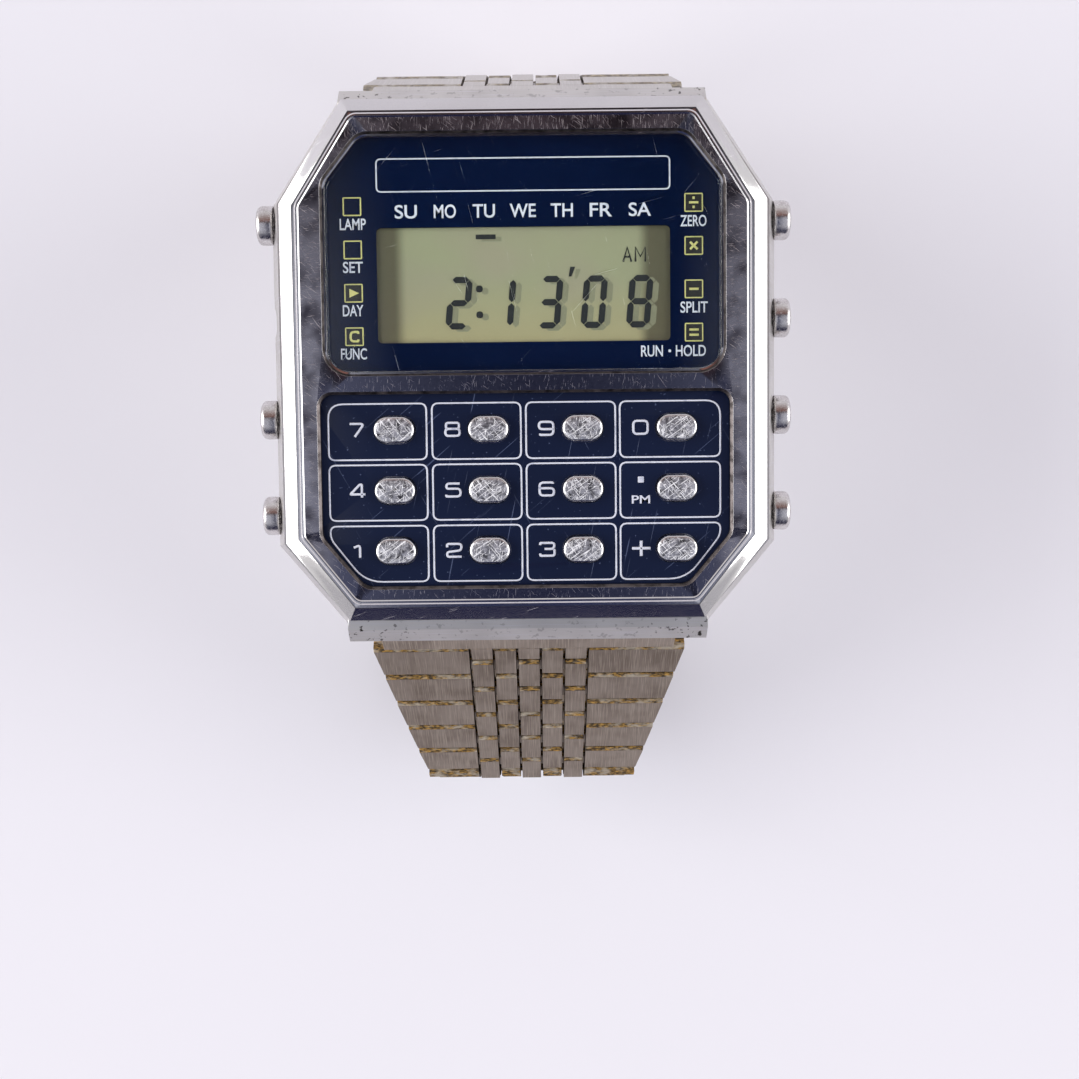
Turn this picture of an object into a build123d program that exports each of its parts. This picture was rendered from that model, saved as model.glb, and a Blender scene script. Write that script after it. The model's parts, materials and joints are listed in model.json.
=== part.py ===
from build123d import *
import os
from math import acos, asin, atan2, cos, degrees, hypot, radians, sin, sqrt

# Calculator wristwatch with an eight-sided steel case and a folded-link bracelet, in millimetres.
# Origin: centre of the case back's outer face. +Z leaves through the dial, +Y points to 12 o'clock,
# +X points to 3 o'clock. The bracelet lies closed below the case, as it does on a wrist.

# Case middle
case_width = 38.0
case_length = 39.8
top_cut = (5.2, 7.9)
bottom_cut = (5.2, 6.2)
case_wall = 3.3
back_thickness = 1.3
waist_height = 3.9
shoulder_height = 6.3
shoulder_inset = 0.75
tuck_inset = 1.1

# Bezel: a polished slope, a groove, a raised ridge and a flat face
bezel_inset = 1.08
bezel_end_reach = 0.33
bezel_step_drop = 1.0
bezel_slope = 0.85
bezel_slope_inset = 1.02
groove_depth = 0.12
ridge_inset = 1.37
ridge_width = 0.27
ridge_edge = 0.12
ridge_rise = 0.08
ridge_corner = 1.0
bezel_lip = 0.7
bezel_wall = 1.6
window_bevel = 0.2
glass_bevel = 0.15
glass_bevel_depth = 0.25
glass_rim = 0.15

# Display window and its glass
glass_side_border = 4.62
glass_length = 16.9
glass_centre_y = 7.7
glass_top_cut = (2.6, 3.3)
glass_cut_round = 1.3
glass_corner = 1.7
glass_fit = 0.03
glass_sink = 0.2
glass_flange = 0.45
glass_flange_depth = 0.7
mask_thickness = 0.25
lcd_side_gap = 1.9
lcd_length = 12.2
lcd_thickness = 1.2
lcd_window_border = 1.75
lcd_window_length = 8.35
lcd_window_drop = 2.15
lcd_window_corner = 0.35

# Key panel and keys
panel_side_border = 4.03
panel_length = 14.1
panel_centre_y = -9.42
panel_cut = (3.1, 3.7)
panel_cut_round = 1.3
panel_corner = 0.9
panel_thickness = 0.5
panel_margin = 0.35
key_columns = 4
key_rows = 3
key_side_margin = 1.19
key_pitch_y = 4.45
key_shift_x = 0.74
key_width = 3.0
key_length = 1.98
key_fit = 0.06
key_rise = 0.72
key_edge = 0.2
key_flange_margin = 0.55
key_flange_thickness = 0.45
key_seat_gap = 0.05
key_stem_width = 1.4
key_stem_length = 1.0
key_stem_depth = 0.35
key_travel = 0.4
key_bottom_gap = 0.06

# Side pushers
pusher_rows = 4
pusher_pitch = 7.33
pusher_shift_y = -0.4
pusher_height = 3.9
pusher_head_diameter = 2.95
pusher_rise = 1.15
pusher_edge = 0.25
pusher_travel = 0.7
pusher_sink = 0.3
pusher_well_gap = 0.15
pusher_fit = 0.06
stem_diameter = 1.3
stem_fit = 0.04
stem_reach = 0.95
clip_diameter = 2.3
clip_thickness = 0.3
clip_gap = 0.05
clip_room = 0.1
adjuster_sink = 0.35
adjuster_length = 0.6
adjuster_diameter = 2.0

# Movement inside the case
movement_fit = 0.2
movement_gap = 2.1
frame_wall = 1.1
frame_rim = 0.45
key_room = 0.15
board_thickness = 0.6
board_fit = 0.1
strip_thickness = 1.1
strip_height = 2.3
strip_inset = 0.35
mat_side_margin = 1.12
mat_length = 12.6
mat_thickness = 0.7
pad_size = 2.2
chip_size = 7.0
chip_thickness = 0.9
chip_y = 5.5
can_diameter = 1.5
can_length = 6.0
can_side_gap = 2.0
can_y = 8.6
battery_side_gap = 2.0
battery_thickness = 1.6
battery_y = -3.0
plate_thickness = 0.25
plate_side_gap = 1.6
plate_length = 25.0
finger_width = 1.4
finger_gap = 0.08
seat_gap = 0.05

# Snap-on case back and its seal
back_edge = 0.5
snap_rim_width = 0.8
snap_rim_height = 0.5
snap_fit = 0.04
opening_notch_width = 6.0
opening_notch_depth = 0.35
gasket_offset = 0.5
gasket_width = 0.7
gasket_height = 0.5

# Lugs: a hood at each end of the case, over the bracelet's end piece
hood_side_step = 5.3
hood_reach = 1.2
upper_hood_reach = 0.5
hood_top = 5.5
hood_bottom = 1.7
hood_round = 1.0
lug_ear = 1.9
lug_bar_setback = 0.2
lug_bar_height = 2.55
lug_ceiling_gap = 0.15
bar_radius = 0.6
bar_fit = 0.05
bar_tip = 1.2

# Bracelet
end_piece_side_gap = 0.2
end_piece_length = 4.9
knuckle_radius = 1.15
link_pitch = 4.0
link_thickness = 1.7
link_edge = 0.25
link_fit = 0.06
column_width = 1.7
column_gap = 0.2
column_count = 5
web_sink = 0.45
link_overhang = 0.95
bracelet_width_at_clasp = 16.4
tapered_rows = 7
pin_radius = 0.4
pin_fit = 0.04
lower_end_slope = 55.0
lower_slopes = (47.0, 47.0, 48.0, 48.0, 50.0, 78.0, 118.0, 148.0, 170.0)
lower_rows = (1, 1, 1, 1, 1, 1, 1, 2, 2)
upper_end_slope = 66.0
upper_slopes = (68.0, 76.0, 78.0, 80.0, 82.0)

# Clasp: a cover, a middle leaf and an inner leaf that fold flat in a Z
cover_side_gap = 0.3
cover_thickness = 0.6
cover_flange = 0.6
cover_lift = 0.95
leaf_width = 9.0
leaf_thickness = 0.4
middle_leaf_lift = 0.35
inner_leaf_lift = -0.5
leaf_knuckle_radius = 0.65
leaf_pin_radius = 0.3
leaf_knuckle_length = 2.0
leaf_knuckle_x = 3.5
leaf_gap = 0.12
leaf_hinge_lift = 0.9
inner_hinge_lift = 0.25
leaf_hinge_setback = 3.5
inner_hinge_setback = 5.5
open_pivot_gap = 0.3
cover_end_gap = 0.35
cover_lid_reach = 0.2

overrun = 1.0
quarter_turn = 90

key_names = ("key_7", "key_8", "key_9", "key_0",
             "key_4", "key_5", "key_6", "key_point",
             "key_1", "key_2", "key_3", "key_plus")
pusher_names = ("pusher_left_1", "pusher_left_2", "pusher_left_3", "pusher_left_4",
                "pusher_right_1", "pusher_right_2", "pusher_right_3", "pusher_right_4")
adjuster_name = "pusher_left_2"

os.makedirs("parts", exist_ok=True)


def save(name, *solids):
    """Write one node, as one solid or as a group of separate solids."""
    flat = [s for item in solids for s in item.solids()]
    export_step(flat[0] if len(flat) == 1 else Compound(children=flat), f"parts/{name}.step")


def octagon(width, length, far_cut, near_cut):
    """Face with four cut corners: far_cut at the 12 o'clock end, near_cut at the 6 o'clock end."""
    x, y = width / 2, length / 2
    points = [(far_cut[0] - x, y), (x - far_cut[0], y), (x, y - far_cut[1]), (x, near_cut[1] - y),
              (x - near_cut[0], -y), (near_cut[0] - x, -y), (-x, near_cut[1] - y), (-x, y - far_cut[1])]
    return make_face(Polyline(*points, close=True))


def inset(face, distance):
    """The same outline, moved in by a distance (or out, where it is negative)."""
    return offset(face, amount=-distance, kind=Kind.INTERSECTION)


def window(width, length, cut, cut_round, corner):
    """Face with two cut corners at the 12 o'clock end and two round ones at the other."""
    x, y = width / 2, length / 2
    face = make_face(Polyline((cut[0] - x, y), (x - cut[0], y), (x, y - cut[1]), (x, -y), (-x, -y),
                              (-x, y - cut[1]), close=True))
    face = fillet(face.vertices().group_by(Axis.Y)[0], corner)
    by_height = face.vertices().group_by(Axis.Y)
    return fillet(by_height[-1] + by_height[-2], cut_round)


def slab(face, low, high):
    """Straight plate between two heights."""
    return Pos(0, 0, low) * extrude(face, amount=high - low)


def skirt(low_face, low, high_face, high):
    """Plate whose outline changes evenly between two heights."""
    return loft([Pos(0, 0, low) * low_face, Pos(0, 0, high) * high_face], ruled=True)


def brick(x0, x1, y0, y1, z0, z1):
    """Box between two corners."""
    return Pos((x0 + x1) / 2, (y0 + y1) / 2, (z0 + z1) / 2) * Box(x1 - x0, y1 - y0, z1 - z0)


def rod(x0, x1, y, z, radius):
    """Round bar along X."""
    return Pos((x0 + x1) / 2, y, z) * Rot(0, 90, 0) * Cylinder(radius, x1 - x0)


def post(x, y, z0, z1, radius):
    """Round bar along Z."""
    return Pos(x, y, (z0 + z1) / 2) * Cylinder(radius, z1 - z0)


# Sizes that follow from the case's width
inner_wall = case_width / 2 - case_wall
movement_width = 2 * (inner_wall - movement_gap)
plate_width = movement_width - 2 * plate_side_gap
battery_diameter = plate_width - 2 * battery_side_gap
glass_width = case_width - 2 * glass_side_border
lcd_width = glass_width - 2 * lcd_side_gap
panel_width = case_width - 2 * panel_side_border
key_pitch_x = (panel_width - 2 * key_side_margin) / key_columns
hood_width = case_width - 2 * hood_side_step
lug_mouth = hood_width - 2 * lug_ear
end_piece_width = lug_mouth - 2 * end_piece_side_gap
bracelet_width_at_lug = end_piece_width + 2 * link_overhang
cover_width = bracelet_width_at_clasp + 2 * cover_side_gap

# Heights, stacked from the case back up to the bezel
plate_bottom = back_thickness + seat_gap
frame_bottom = plate_bottom + plate_thickness
board_bottom = frame_bottom + battery_thickness + seat_gap
board_top = board_bottom + board_thickness
lcd_bottom = board_top + strip_height
mask_bottom = lcd_bottom + lcd_thickness
glass_bottom = mask_bottom + mask_thickness
lip_height = glass_bottom + glass_flange_depth
bezel_top_height = lip_height + bezel_lip
bezel_step_height = bezel_top_height - bezel_step_drop
face_height = bezel_top_height - ridge_rise

# Outlines shared by the pieces of the case
case_outline = octagon(case_width, case_length, top_cut, bottom_cut)
cavity_outline = inset(case_outline, case_wall)
bezel_outline = inset(octagon(
    case_width, case_length + 2 * bezel_end_reach, (top_cut[0], top_cut[1] + bezel_end_reach),
    (bottom_cut[0], bottom_cut[1] + bezel_end_reach)), bezel_inset)
glass_outline = Pos(0, glass_centre_y) * window(
    glass_width, glass_length, glass_top_cut, glass_cut_round, glass_corner)
panel_outline = Pos(0, panel_centre_y) * Rot(0, 0, 180) * window(
    panel_width, panel_length, panel_cut, panel_cut_round, panel_corner)

key_places = [
    (key_shift_x + (column - (key_columns - 1) / 2) * key_pitch_x,
     panel_centre_y + ((key_rows - 1) / 2 - row) * key_pitch_y)
    for row in range(key_rows) for column in range(key_columns)
]
pusher_places = [
    (side, pusher_shift_y + ((pusher_rows - 1) / 2 - row) * pusher_pitch)
    for side in (-1, 1) for row in range(pusher_rows)
]

# Case middle: an eight-sided ring that is widest at its waist, with a hood and two lug ears at each end
case_middle = skirt(inset(case_outline, tuck_inset), back_thickness, case_outline, waist_height)
case_middle += skirt(case_outline, waist_height, inset(case_outline, shoulder_inset), shoulder_height)

hood_face = case_length / 2 + hood_reach
lug_bar_y = case_length / 2 - lug_bar_setback


def hood(face):
    """Block over a lug, with its long edges cut, out to a face's distance from the middle."""
    profile = make_face(Polyline(
        (0, hood_bottom), (face - hood_round, hood_bottom), (face, hood_bottom + hood_round),
        (face, hood_top - hood_round), (face - hood_round, hood_top), (0, hood_top), close=True))
    return Pos(-hood_width / 2, 0, 0) * extrude(Plane.YZ * profile, amount=hood_width)


lug_room = brick(-lug_mouth / 2, lug_mouth / 2, lug_bar_y - knuckle_radius - lug_ceiling_gap,
                 hood_face + overrun, -overrun, lug_bar_height + knuckle_radius + lug_ceiling_gap)
bar_hole = rod(-lug_mouth / 2 - bar_tip, lug_mouth / 2 + bar_tip, lug_bar_y, lug_bar_height, bar_radius)
case_middle += hood(case_length / 2 + upper_hood_reach)
case_middle += Rot(0, 0, 180) * hood(hood_face)
for turn in (0, 180):
    case_middle -= Rot(0, 0, turn) * (lug_room + bar_hole)
case_middle -= slab(cavity_outline, -overrun, bezel_top_height)

gasket_outer = inset(cavity_outline, -gasket_offset - gasket_width)
gasket_inner = inset(cavity_outline, -gasket_offset)
gasket = slab(gasket_outer - gasket_inner, back_thickness, back_thickness + gasket_height)
case_middle -= gasket


def pusher_sizes(name):
    """Head radius and the distances of the head's two ends from the case's middle plane."""
    flank = case_width / 2
    if name == adjuster_name:
        return adjuster_diameter / 2, flank - adjuster_sink - adjuster_length, flank - adjuster_sink
    return pusher_head_diameter / 2, flank - pusher_sink, flank + pusher_rise


for name, (side, y) in zip(pusher_names, pusher_places):
    head_radius, head_start, head_end = pusher_sizes(name)
    for start, end, radius in (
            (head_start - pusher_travel - pusher_well_gap, case_width / 2 + overrun,
             head_radius + pusher_fit),
            (inner_wall - overrun, case_width / 2, stem_diameter / 2 + stem_fit),
            (inner_wall - stem_reach, inner_wall, clip_diameter / 2 + clip_room)):
        case_middle -= rod(*sorted((side * start, side * end)), y, pusher_height, radius)
save("case_middle", case_middle)

# Bezel: a sloped band, a groove, a ridge round a flat face with two windows, and a pocket below
slope_bottom = bezel_step_height - bezel_slope
bezel = slab(bezel_outline, shoulder_height, slope_bottom)
bezel += skirt(bezel_outline, slope_bottom, inset(bezel_outline, bezel_slope_inset), bezel_step_height)
ridge_outline = fillet(inset(bezel_outline, ridge_inset).vertices(), ridge_corner)
bezel -= slab(inset(bezel_outline, bezel_slope_inset) - ridge_outline,
              bezel_step_height - groove_depth, bezel_step_height)
bezel += slab(ridge_outline, shoulder_height, bezel_top_height - ridge_edge)
bezel += skirt(ridge_outline, bezel_top_height - ridge_edge,
               inset(ridge_outline, ridge_edge), bezel_top_height)
face_outline = inset(ridge_outline, ridge_width)
bezel -= skirt(inset(face_outline, ridge_rise), face_height, face_outline, bezel_top_height)
bezel -= slab(inset(bezel_outline, bezel_wall), shoulder_height - overrun, lip_height)
for outline in (glass_outline, panel_outline):
    bezel -= slab(outline, lip_height - overrun, bezel_top_height)
glass_rim_outline = inset(glass_outline, -glass_rim)
bezel -= slab(glass_rim_outline, face_height - glass_bevel_depth, face_height)
bezel -= skirt(glass_rim_outline, face_height - glass_bevel_depth,
               inset(glass_rim_outline, -glass_bevel), face_height)
bezel -= skirt(panel_outline, face_height - window_bevel, inset(panel_outline, -window_bevel), face_height)
save("bezel", bezel)

# Display: glass with a flange behind the bezel, the printed mask and the liquid-crystal cell
glass = slab(inset(glass_outline, glass_fit), glass_bottom, bezel_top_height - glass_sink)
glass += slab(inset(glass_outline, -glass_flange), glass_bottom, lip_height)
save("display_glass", glass)

lcd_centre_y = glass_centre_y - lcd_window_drop
lcd_window = RectangleRounded(lcd_width - 2 * lcd_window_border, lcd_window_length, lcd_window_corner)
mask = slab(inset(glass_outline, -glass_flange), mask_bottom, glass_bottom)
mask -= slab(Pos(0, lcd_centre_y) * lcd_window, mask_bottom - overrun, glass_bottom + overrun)
save("display_mask", mask)

lcd_outline = Pos(0, lcd_centre_y) * Rectangle(lcd_width, lcd_length)
save("lcd_panel", slab(lcd_outline, lcd_bottom, mask_bottom))

# Key panel with one oval hole for each key
panel_bottom = lip_height - panel_thickness
panel = slab(inset(panel_outline, -panel_margin), panel_bottom, lip_height)
for x, y in key_places:
    hole = SlotOverall(key_width + 2 * key_fit, key_length + 2 * key_fit)
    panel -= slab(Pos(x, y) * hole, panel_bottom - overrun, lip_height + overrun)
save("key_panel", panel)

# Keys: an oval cap, a flange that stops it under the panel and a stem that presses the contact mat
flange_top = panel_bottom - key_seat_gap
stem_bottom = flange_top - key_flange_thickness - key_stem_depth
for name, (x, y) in zip(key_names, key_places):
    cap = slab(SlotOverall(key_width, key_length), flange_top, lip_height + key_rise)
    cap = chamfer(cap.faces().sort_by(Axis.Z)[-1].edges(), key_edge)
    flange = slab(Rectangle(key_width + 2 * key_flange_margin, key_length + 2 * key_flange_margin),
                  flange_top - key_flange_thickness, flange_top)
    stem = slab(Rectangle(key_stem_width, key_stem_length), stem_bottom, flange_top)
    save(name, Pos(x, y, 0) * (cap + flange + stem))

# Side pushers: a domed head in its well, a stem through the wall and a clip inside the case
for name, (side, y) in zip(pusher_names, pusher_places):
    head_radius, head_start, head_end = pusher_sizes(name)
    head_length = head_end - head_start
    head = Pos(0, 0, head_start + head_length / 2) * Cylinder(head_radius, head_length)
    head = chamfer(head.faces().sort_by(Axis.Z)[-1].edges(), pusher_edge)
    stem_start = inner_wall - stem_reach
    stem = Pos(0, 0, (stem_start + head_start) / 2) * Cylinder(stem_diameter / 2, head_start - stem_start)
    clip_top = inner_wall - clip_gap
    clip = Pos(0, 0, clip_top - clip_thickness / 2) * (
        Cylinder(clip_diameter / 2, clip_thickness) - Cylinder(stem_diameter / 2, clip_thickness))
    place = Pos(0, y, pusher_height) * Rot(0, 90 * side, 0)
    save(name, place * (head + stem), place * clip)

# Movement: frame, circuit board, parts on the board, zebra strips and the rubber contact mat
movement_outline = inset(cavity_outline, movement_fit) & Rectangle(movement_width, case_length)
frame_hole = inset(movement_outline, frame_wall)
key_room_bottom = flange_top - key_flange_thickness - key_travel - key_room
rib_top_y = lcd_centre_y - lcd_length / 2 - seat_gap
rib_low_y = glass_centre_y - glass_length / 2 - glass_flange - frame_wall
frame = slab(movement_outline - frame_hole, back_thickness + snap_rim_height + seat_gap, mask_bottom)
frame += slab(movement_outline, board_top, mask_bottom) & brick(
    -case_width, case_width, rib_low_y, rib_top_y, board_top, mask_bottom)
frame -= brick(-case_width, case_width, -case_length, rib_low_y, key_room_bottom, mask_bottom)
rim = slab(movement_outline - inset(movement_outline, frame_rim), key_room_bottom, panel_bottom)
frame += rim & brick(-case_width, case_width, panel_centre_y - key_pitch_y + key_length, rib_low_y,
                     key_room_bottom, panel_bottom)
flange_x = key_width / 2 + key_flange_margin + key_fit
flange_y = key_length / 2 + key_flange_margin + key_fit
for x, y in key_places:
    frame -= brick(x - flange_x, x + flange_x, y - flange_y, y + flange_y, key_room_bottom, panel_bottom)
save("module_frame", frame)

board = slab(inset(frame_hole, board_fit), board_bottom, board_top)
save("circuit_board", board)

chip = brick(-chip_size / 2, chip_size / 2, chip_y - chip_size / 2, chip_y + chip_size / 2,
             board_top, board_top + chip_thickness)
can_start = can_side_gap - plate_width / 2
can = rod(can_start, can_start + can_length, can_y, board_bottom - can_diameter / 2,
          can_diameter / 2)
save("processor_chip", chip)
save("quartz_can", can)

strips = []
for side in (-1, 1):
    near, far = sorted((lcd_centre_y + side * (lcd_length / 2 - strip_inset),
                        lcd_centre_y + side * (lcd_length / 2 - strip_inset - strip_thickness)))
    strips.append(brick(strip_inset - lcd_width / 2, lcd_width / 2 - strip_inset, near, far,
                        board_top, lcd_bottom))
save("zebra_strips", *strips)

mat_top = board_top + mat_thickness
pad_top = stem_bottom - key_travel - key_bottom_gap
mat_reach = key_columns * key_pitch_x / 2 - mat_side_margin
mat = brick(key_shift_x - mat_reach, key_shift_x + mat_reach, panel_centre_y - mat_length / 2,
            panel_centre_y + mat_length / 2, board_top, mat_top)
for x, y in key_places:
    mat += brick(x - pad_size / 2, x + pad_size / 2, y - pad_size / 2, y + pad_size / 2, board_top, pad_top)
mat = mat & slab(inset(frame_hole, board_fit), board_top, pad_top)
save("contact_mat", mat)

# Battery and the stamped plate that holds it and carries the pushers' contact fingers
save("battery", post(0, battery_y, frame_bottom, frame_bottom + battery_thickness, battery_diameter / 2))
plate = slab(movement_outline & Rectangle(plate_width, plate_length), plate_bottom, frame_bottom)
finger_x = inner_wall - stem_reach - pusher_travel - finger_gap
for side, y in pusher_places:
    low_y, high_y = y - finger_width / 2, y + finger_width / 2
    tab = sorted((side * (plate_width / 2 - plate_thickness), side * finger_x))
    plate += brick(*tab, low_y, high_y, plate_bottom, frame_bottom)
    finger = sorted((side * (finger_x - plate_thickness), side * finger_x))
    plate += brick(*finger, low_y, high_y, plate_bottom, pusher_height + stem_diameter / 2)
save("battery_plate", plate)

# Snap-on case back, with a rim that grips the cavity and an opening notch, and its seal
back_outline = inset(case_outline, tuck_inset)
back = skirt(inset(back_outline, back_edge), 0, back_outline, back_edge)
back += slab(back_outline, back_edge, back_thickness)
rim_outline = inset(cavity_outline, snap_fit)
snap_rim = rim_outline - inset(rim_outline, snap_rim_width)
back += slab(snap_rim, back_thickness, back_thickness + snap_rim_height)
notch_y = back_outline.bounding_box().max.Y
back -= brick(-opening_notch_width / 2, opening_notch_width / 2, notch_y - back_edge - opening_notch_depth,
              notch_y + overrun, back_thickness - opening_notch_depth, back_thickness)
save("case_back", back)
save("back_seal", gasket)

# Spring bars in the lug ears
spring_bars = [Rot(0, 0, turn) * bar_hole for turn in (0, 180)]
save("lug_spring_bars", *spring_bars)

# Bracelet geometry: both halves are laid out on the 12 o'clock side, and the lower one is then turned round
half = link_thickness / 2
end_reach = half
swing_radius = hypot(end_reach, half - link_edge)
shoulder = swing_radius + link_fit
column_pitch = column_width + column_gap
fork_columns = range(1, column_count, 2)
tongue_columns = range(0, column_count, 2)
pin_column = column_count // 2
centre_width = column_count * column_width + (column_count - 1) * column_gap


def step_along(point, slope, distance):
    """Point at a distance down the bracelet, at a slope below level."""
    return point[0] + distance * cos(radians(slope)), point[1] - distance * sin(radians(slope))


def closing_slopes(start, end):
    """Slopes of two rows that join two points, with the pin between them on the outside."""
    reach, drop = end[0] - start[0], start[1] - end[1]
    mean = degrees(atan2(drop, reach))
    spread = degrees(acos(min(hypot(reach, drop) / (2 * link_pitch), 1)))
    return mean - spread, mean + spread


def pins_along(end_slope, slopes, rows):
    """Pins of one half, from the end piece's far end on."""
    pins = [step_along(lug_pin, end_slope, end_piece_length)]
    for slope, count in zip(slopes, rows):
        pins.append(step_along(pins[-1], slope, count * link_pitch))
    return pins


# The lower half spreads out to the clasp, and the upper half hangs steeply and meets it with its last rows
lug_pin = (lug_bar_y, lug_bar_height)
lower_pins = pins_along(lower_end_slope, lower_slopes, lower_rows)
last_slope = lower_slopes[-1]
steep_pins = pins_along(upper_end_slope, upper_slopes, [1] * len(upper_slopes))
upper_slopes += closing_slopes(steep_pins[-1], step_along(lower_pins[-1], last_slope, -link_pitch))
upper_slopes += (last_slope,)
upper_rows = [1] * len(upper_slopes)
upper_pins = pins_along(upper_end_slope, upper_slopes, upper_rows)


def width_at(row):
    """Width of the bracelet at the near end of a row, counted from the end piece."""
    share = min(row / tapered_rows, 1)
    return bracelet_width_at_lug + (bracelet_width_at_clasp - bracelet_width_at_lug) * share


def bar_profile(start, end):
    """Side view of a link bar: flat top and bottom with cut edges at both ends."""
    return make_face(Plane.YZ * Polyline(
        (start, link_edge - half), (start, half - link_edge), (start + link_edge, half),
        (end - link_edge, half), (end, half - link_edge), (end, link_edge - half),
        (end - link_edge, -half), (start + link_edge, -half), close=True))


def bar_block(x0, x1, start, end):
    """A link bar between two sides."""
    return Pos(x0, 0, 0) * extrude(bar_profile(start, end), amount=x1 - x0, dir=(1, 0, 0))


def column_span(index):
    """The two sides of one of the narrow centre columns."""
    x0 = index * column_pitch - centre_width / 2
    return x0, x0 + column_width


def side_bars(start, end, near_width, far_width):
    """The pair of wide outer bars, narrowing with the bracelet."""
    inner = centre_width / 2 + column_gap
    long_bar = bar_block(-near_width / 2, near_width / 2, start, end)
    edge = half + overrun
    outline = make_face(Polyline((inner, start), (near_width / 2, start), (far_width / 2, end),
                                 (inner, end), close=True))
    plan = Pos(0, 0, -edge) * extrude(outline, amount=2 * edge)
    return [long_bar & plan, long_bar & mirror(plan, about=Plane.YZ)]


def centre_web(start, end):
    """The bridge under the narrow columns that makes a row one piece."""
    inner = centre_width / 2 + column_gap
    return brick(-inner - column_gap, inner + column_gap, start + column_gap, end - column_gap,
                 link_edge - half, half - web_sink)


def link_row(first_row, count, open_end=False, full_pin=False):
    """One link: wide bars and two columns on its near pin, three columns that reach to the next pin."""
    pieces = []
    for i in range(count):
        s = i * link_pitch
        near, far = width_at(first_row + i), width_at(first_row + i + 1)
        pieces += side_bars(s - end_reach, s + link_pitch - shoulder, near, far)
        for c in fork_columns:
            pieces.append(bar_block(*column_span(c), s - end_reach, s + link_pitch - shoulder))
        for c in tongue_columns:
            pieces.append(bar_block(*column_span(c), s + shoulder, s + link_pitch + end_reach))
        pieces.append(centre_web(s + shoulder, s + link_pitch - shoulder))
        if i:
            pieces.append(centre_web(s - shoulder - column_gap, s + shoulder + column_gap))
            inner = centre_width / 2 + column_gap
            for side in (-1, 1):
                x0, x1 = sorted((side * inner, side * (far / 2 - overrun)))
                pieces.append(brick(x0, x1, s - shoulder - column_gap, s + column_gap,
                                    link_edge - half, half - web_sink))
    row = pieces[0].fuse(*pieces[1:])
    tip = count * link_pitch
    if open_end:
        row -= brick(-centre_width, centre_width, tip - bar_radius - open_pivot_gap,
                     tip + link_pitch, -half, half)
    elif full_pin:
        row -= rod(-centre_width / 2, centre_width / 2, tip, 0, bar_radius + bar_fit)
    else:
        x0, x1 = column_span(pin_column)
        row -= rod(x0, x1, tip, 0, pin_radius + pin_fit)
    x0, x1 = column_span(pin_column)
    pin = rod(x0 - column_gap, x1 + column_gap, 0, 0, pin_radius)
    return row, pin


def end_piece():
    """Knuckle on the lug's spring bar, a plate below it and three columns that reach to the first link."""
    wide = end_piece_width / 2
    tip = end_piece_length
    tube = rod(-wide, wide, 0, 0, knuckle_radius)
    plate = bar_block(-wide, wide, 0, tip - shoulder)
    columns = [bar_block(*column_span(c), tip - shoulder - link_edge - column_gap, tip + end_reach)
               for c in tongue_columns]
    piece = tube.fuse(plate, *columns)
    piece -= rod(-wide, wide, 0, 0, bar_radius + bar_fit)
    x0, x1 = column_span(pin_column)
    return piece - rod(x0, x1, tip, 0, pin_radius + pin_fit)


def hang(point, slope, turn):
    """Place on the bracelet: local Y runs down the bracelet and local Z points away from the wrist."""
    return Rot(0, 0, turn) * Pos(0, point[0], point[1]) * Rot(-slope, 0, 0)


first_piece = end_piece()
for half_name, turn, end_slope, slopes, rows, pins in (
        ("upper", 0, upper_end_slope, upper_slopes, upper_rows, upper_pins),
        ("lower", 180, lower_end_slope, lower_slopes, lower_rows, lower_pins)):
    save(f"{half_name}_end_piece", hang(lug_pin, end_slope, turn) * first_piece)
    first_row = 0
    for number, (slope, count) in enumerate(zip(slopes, rows), start=1):
        last = number == len(slopes)
        solids = link_row(first_row, count, open_end=last and turn > 0, full_pin=last and turn == 0)
        place = hang(pins[number - 1], slope, turn)
        save(f"{half_name}_link_{number}", *[place * solid for solid in solids])
        first_row += count

# Clasp geometry: an arc through the last pins of both halves
clasp_y, clasp_z = lower_pins[-1]
clasp_slope = radians((180 - last_slope) / 2)
clasp_radius = clasp_y / sin(clasp_slope)
arc_centre = clasp_z + sqrt(clasp_radius**2 - clasp_y**2)
clasp_half_angle = degrees(clasp_slope)


def on_arc(angle, lift):
    """Place on the clasp's arc, lifted outwards from the line of the pins."""
    radius = clasp_radius + lift
    return Pos(0, radius * sin(radians(angle)), arc_centre - radius * cos(radians(angle)))


def arc_angle(setback):
    """Angle of a place that lies a distance short of the last pin."""
    return clasp_half_angle - degrees(setback / clasp_radius)


def arc_plate(low, high, start, end, x0, x1):
    """Curved plate between two lifts, two angles and two sides."""
    r0, r1 = clasp_radius + low, clasp_radius + high
    centre = (0, arc_centre)
    inner = CenterArc(centre, r0, start - quarter_turn, end - start)
    outer = CenterArc(centre, r1, start - quarter_turn, end - start)
    face = make_face([inner, Line(inner @ 1, outer @ 1), outer, Line(outer @ 0, inner @ 0)])
    return Pos(x0, 0, 0) * extrude(Plane.YZ * face, amount=x1 - x0, dir=(1, 0, 0))


outer_hinge = -arc_angle(leaf_hinge_setback)
inner_hinge = arc_angle(inner_hinge_setback)
knuckle_angle = degrees((leaf_knuckle_radius + leaf_gap) / clasp_radius)
end_gap_angle = degrees((shoulder - cover_end_gap) / clasp_radius)
lid_angle = degrees(cover_lid_reach / clasp_radius)
knuckle_side = leaf_knuckle_x + leaf_knuckle_length / 2
mid_knuckle = leaf_knuckle_x - leaf_knuckle_length / 2 - leaf_gap


def knuckle(angle, lift, x0, x1, radius=leaf_knuckle_radius):
    """Short tube of a leaf hinge, as a solid bar."""
    return on_arc(angle, lift) * rod(x0, x1, 0, 0, radius)


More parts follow.
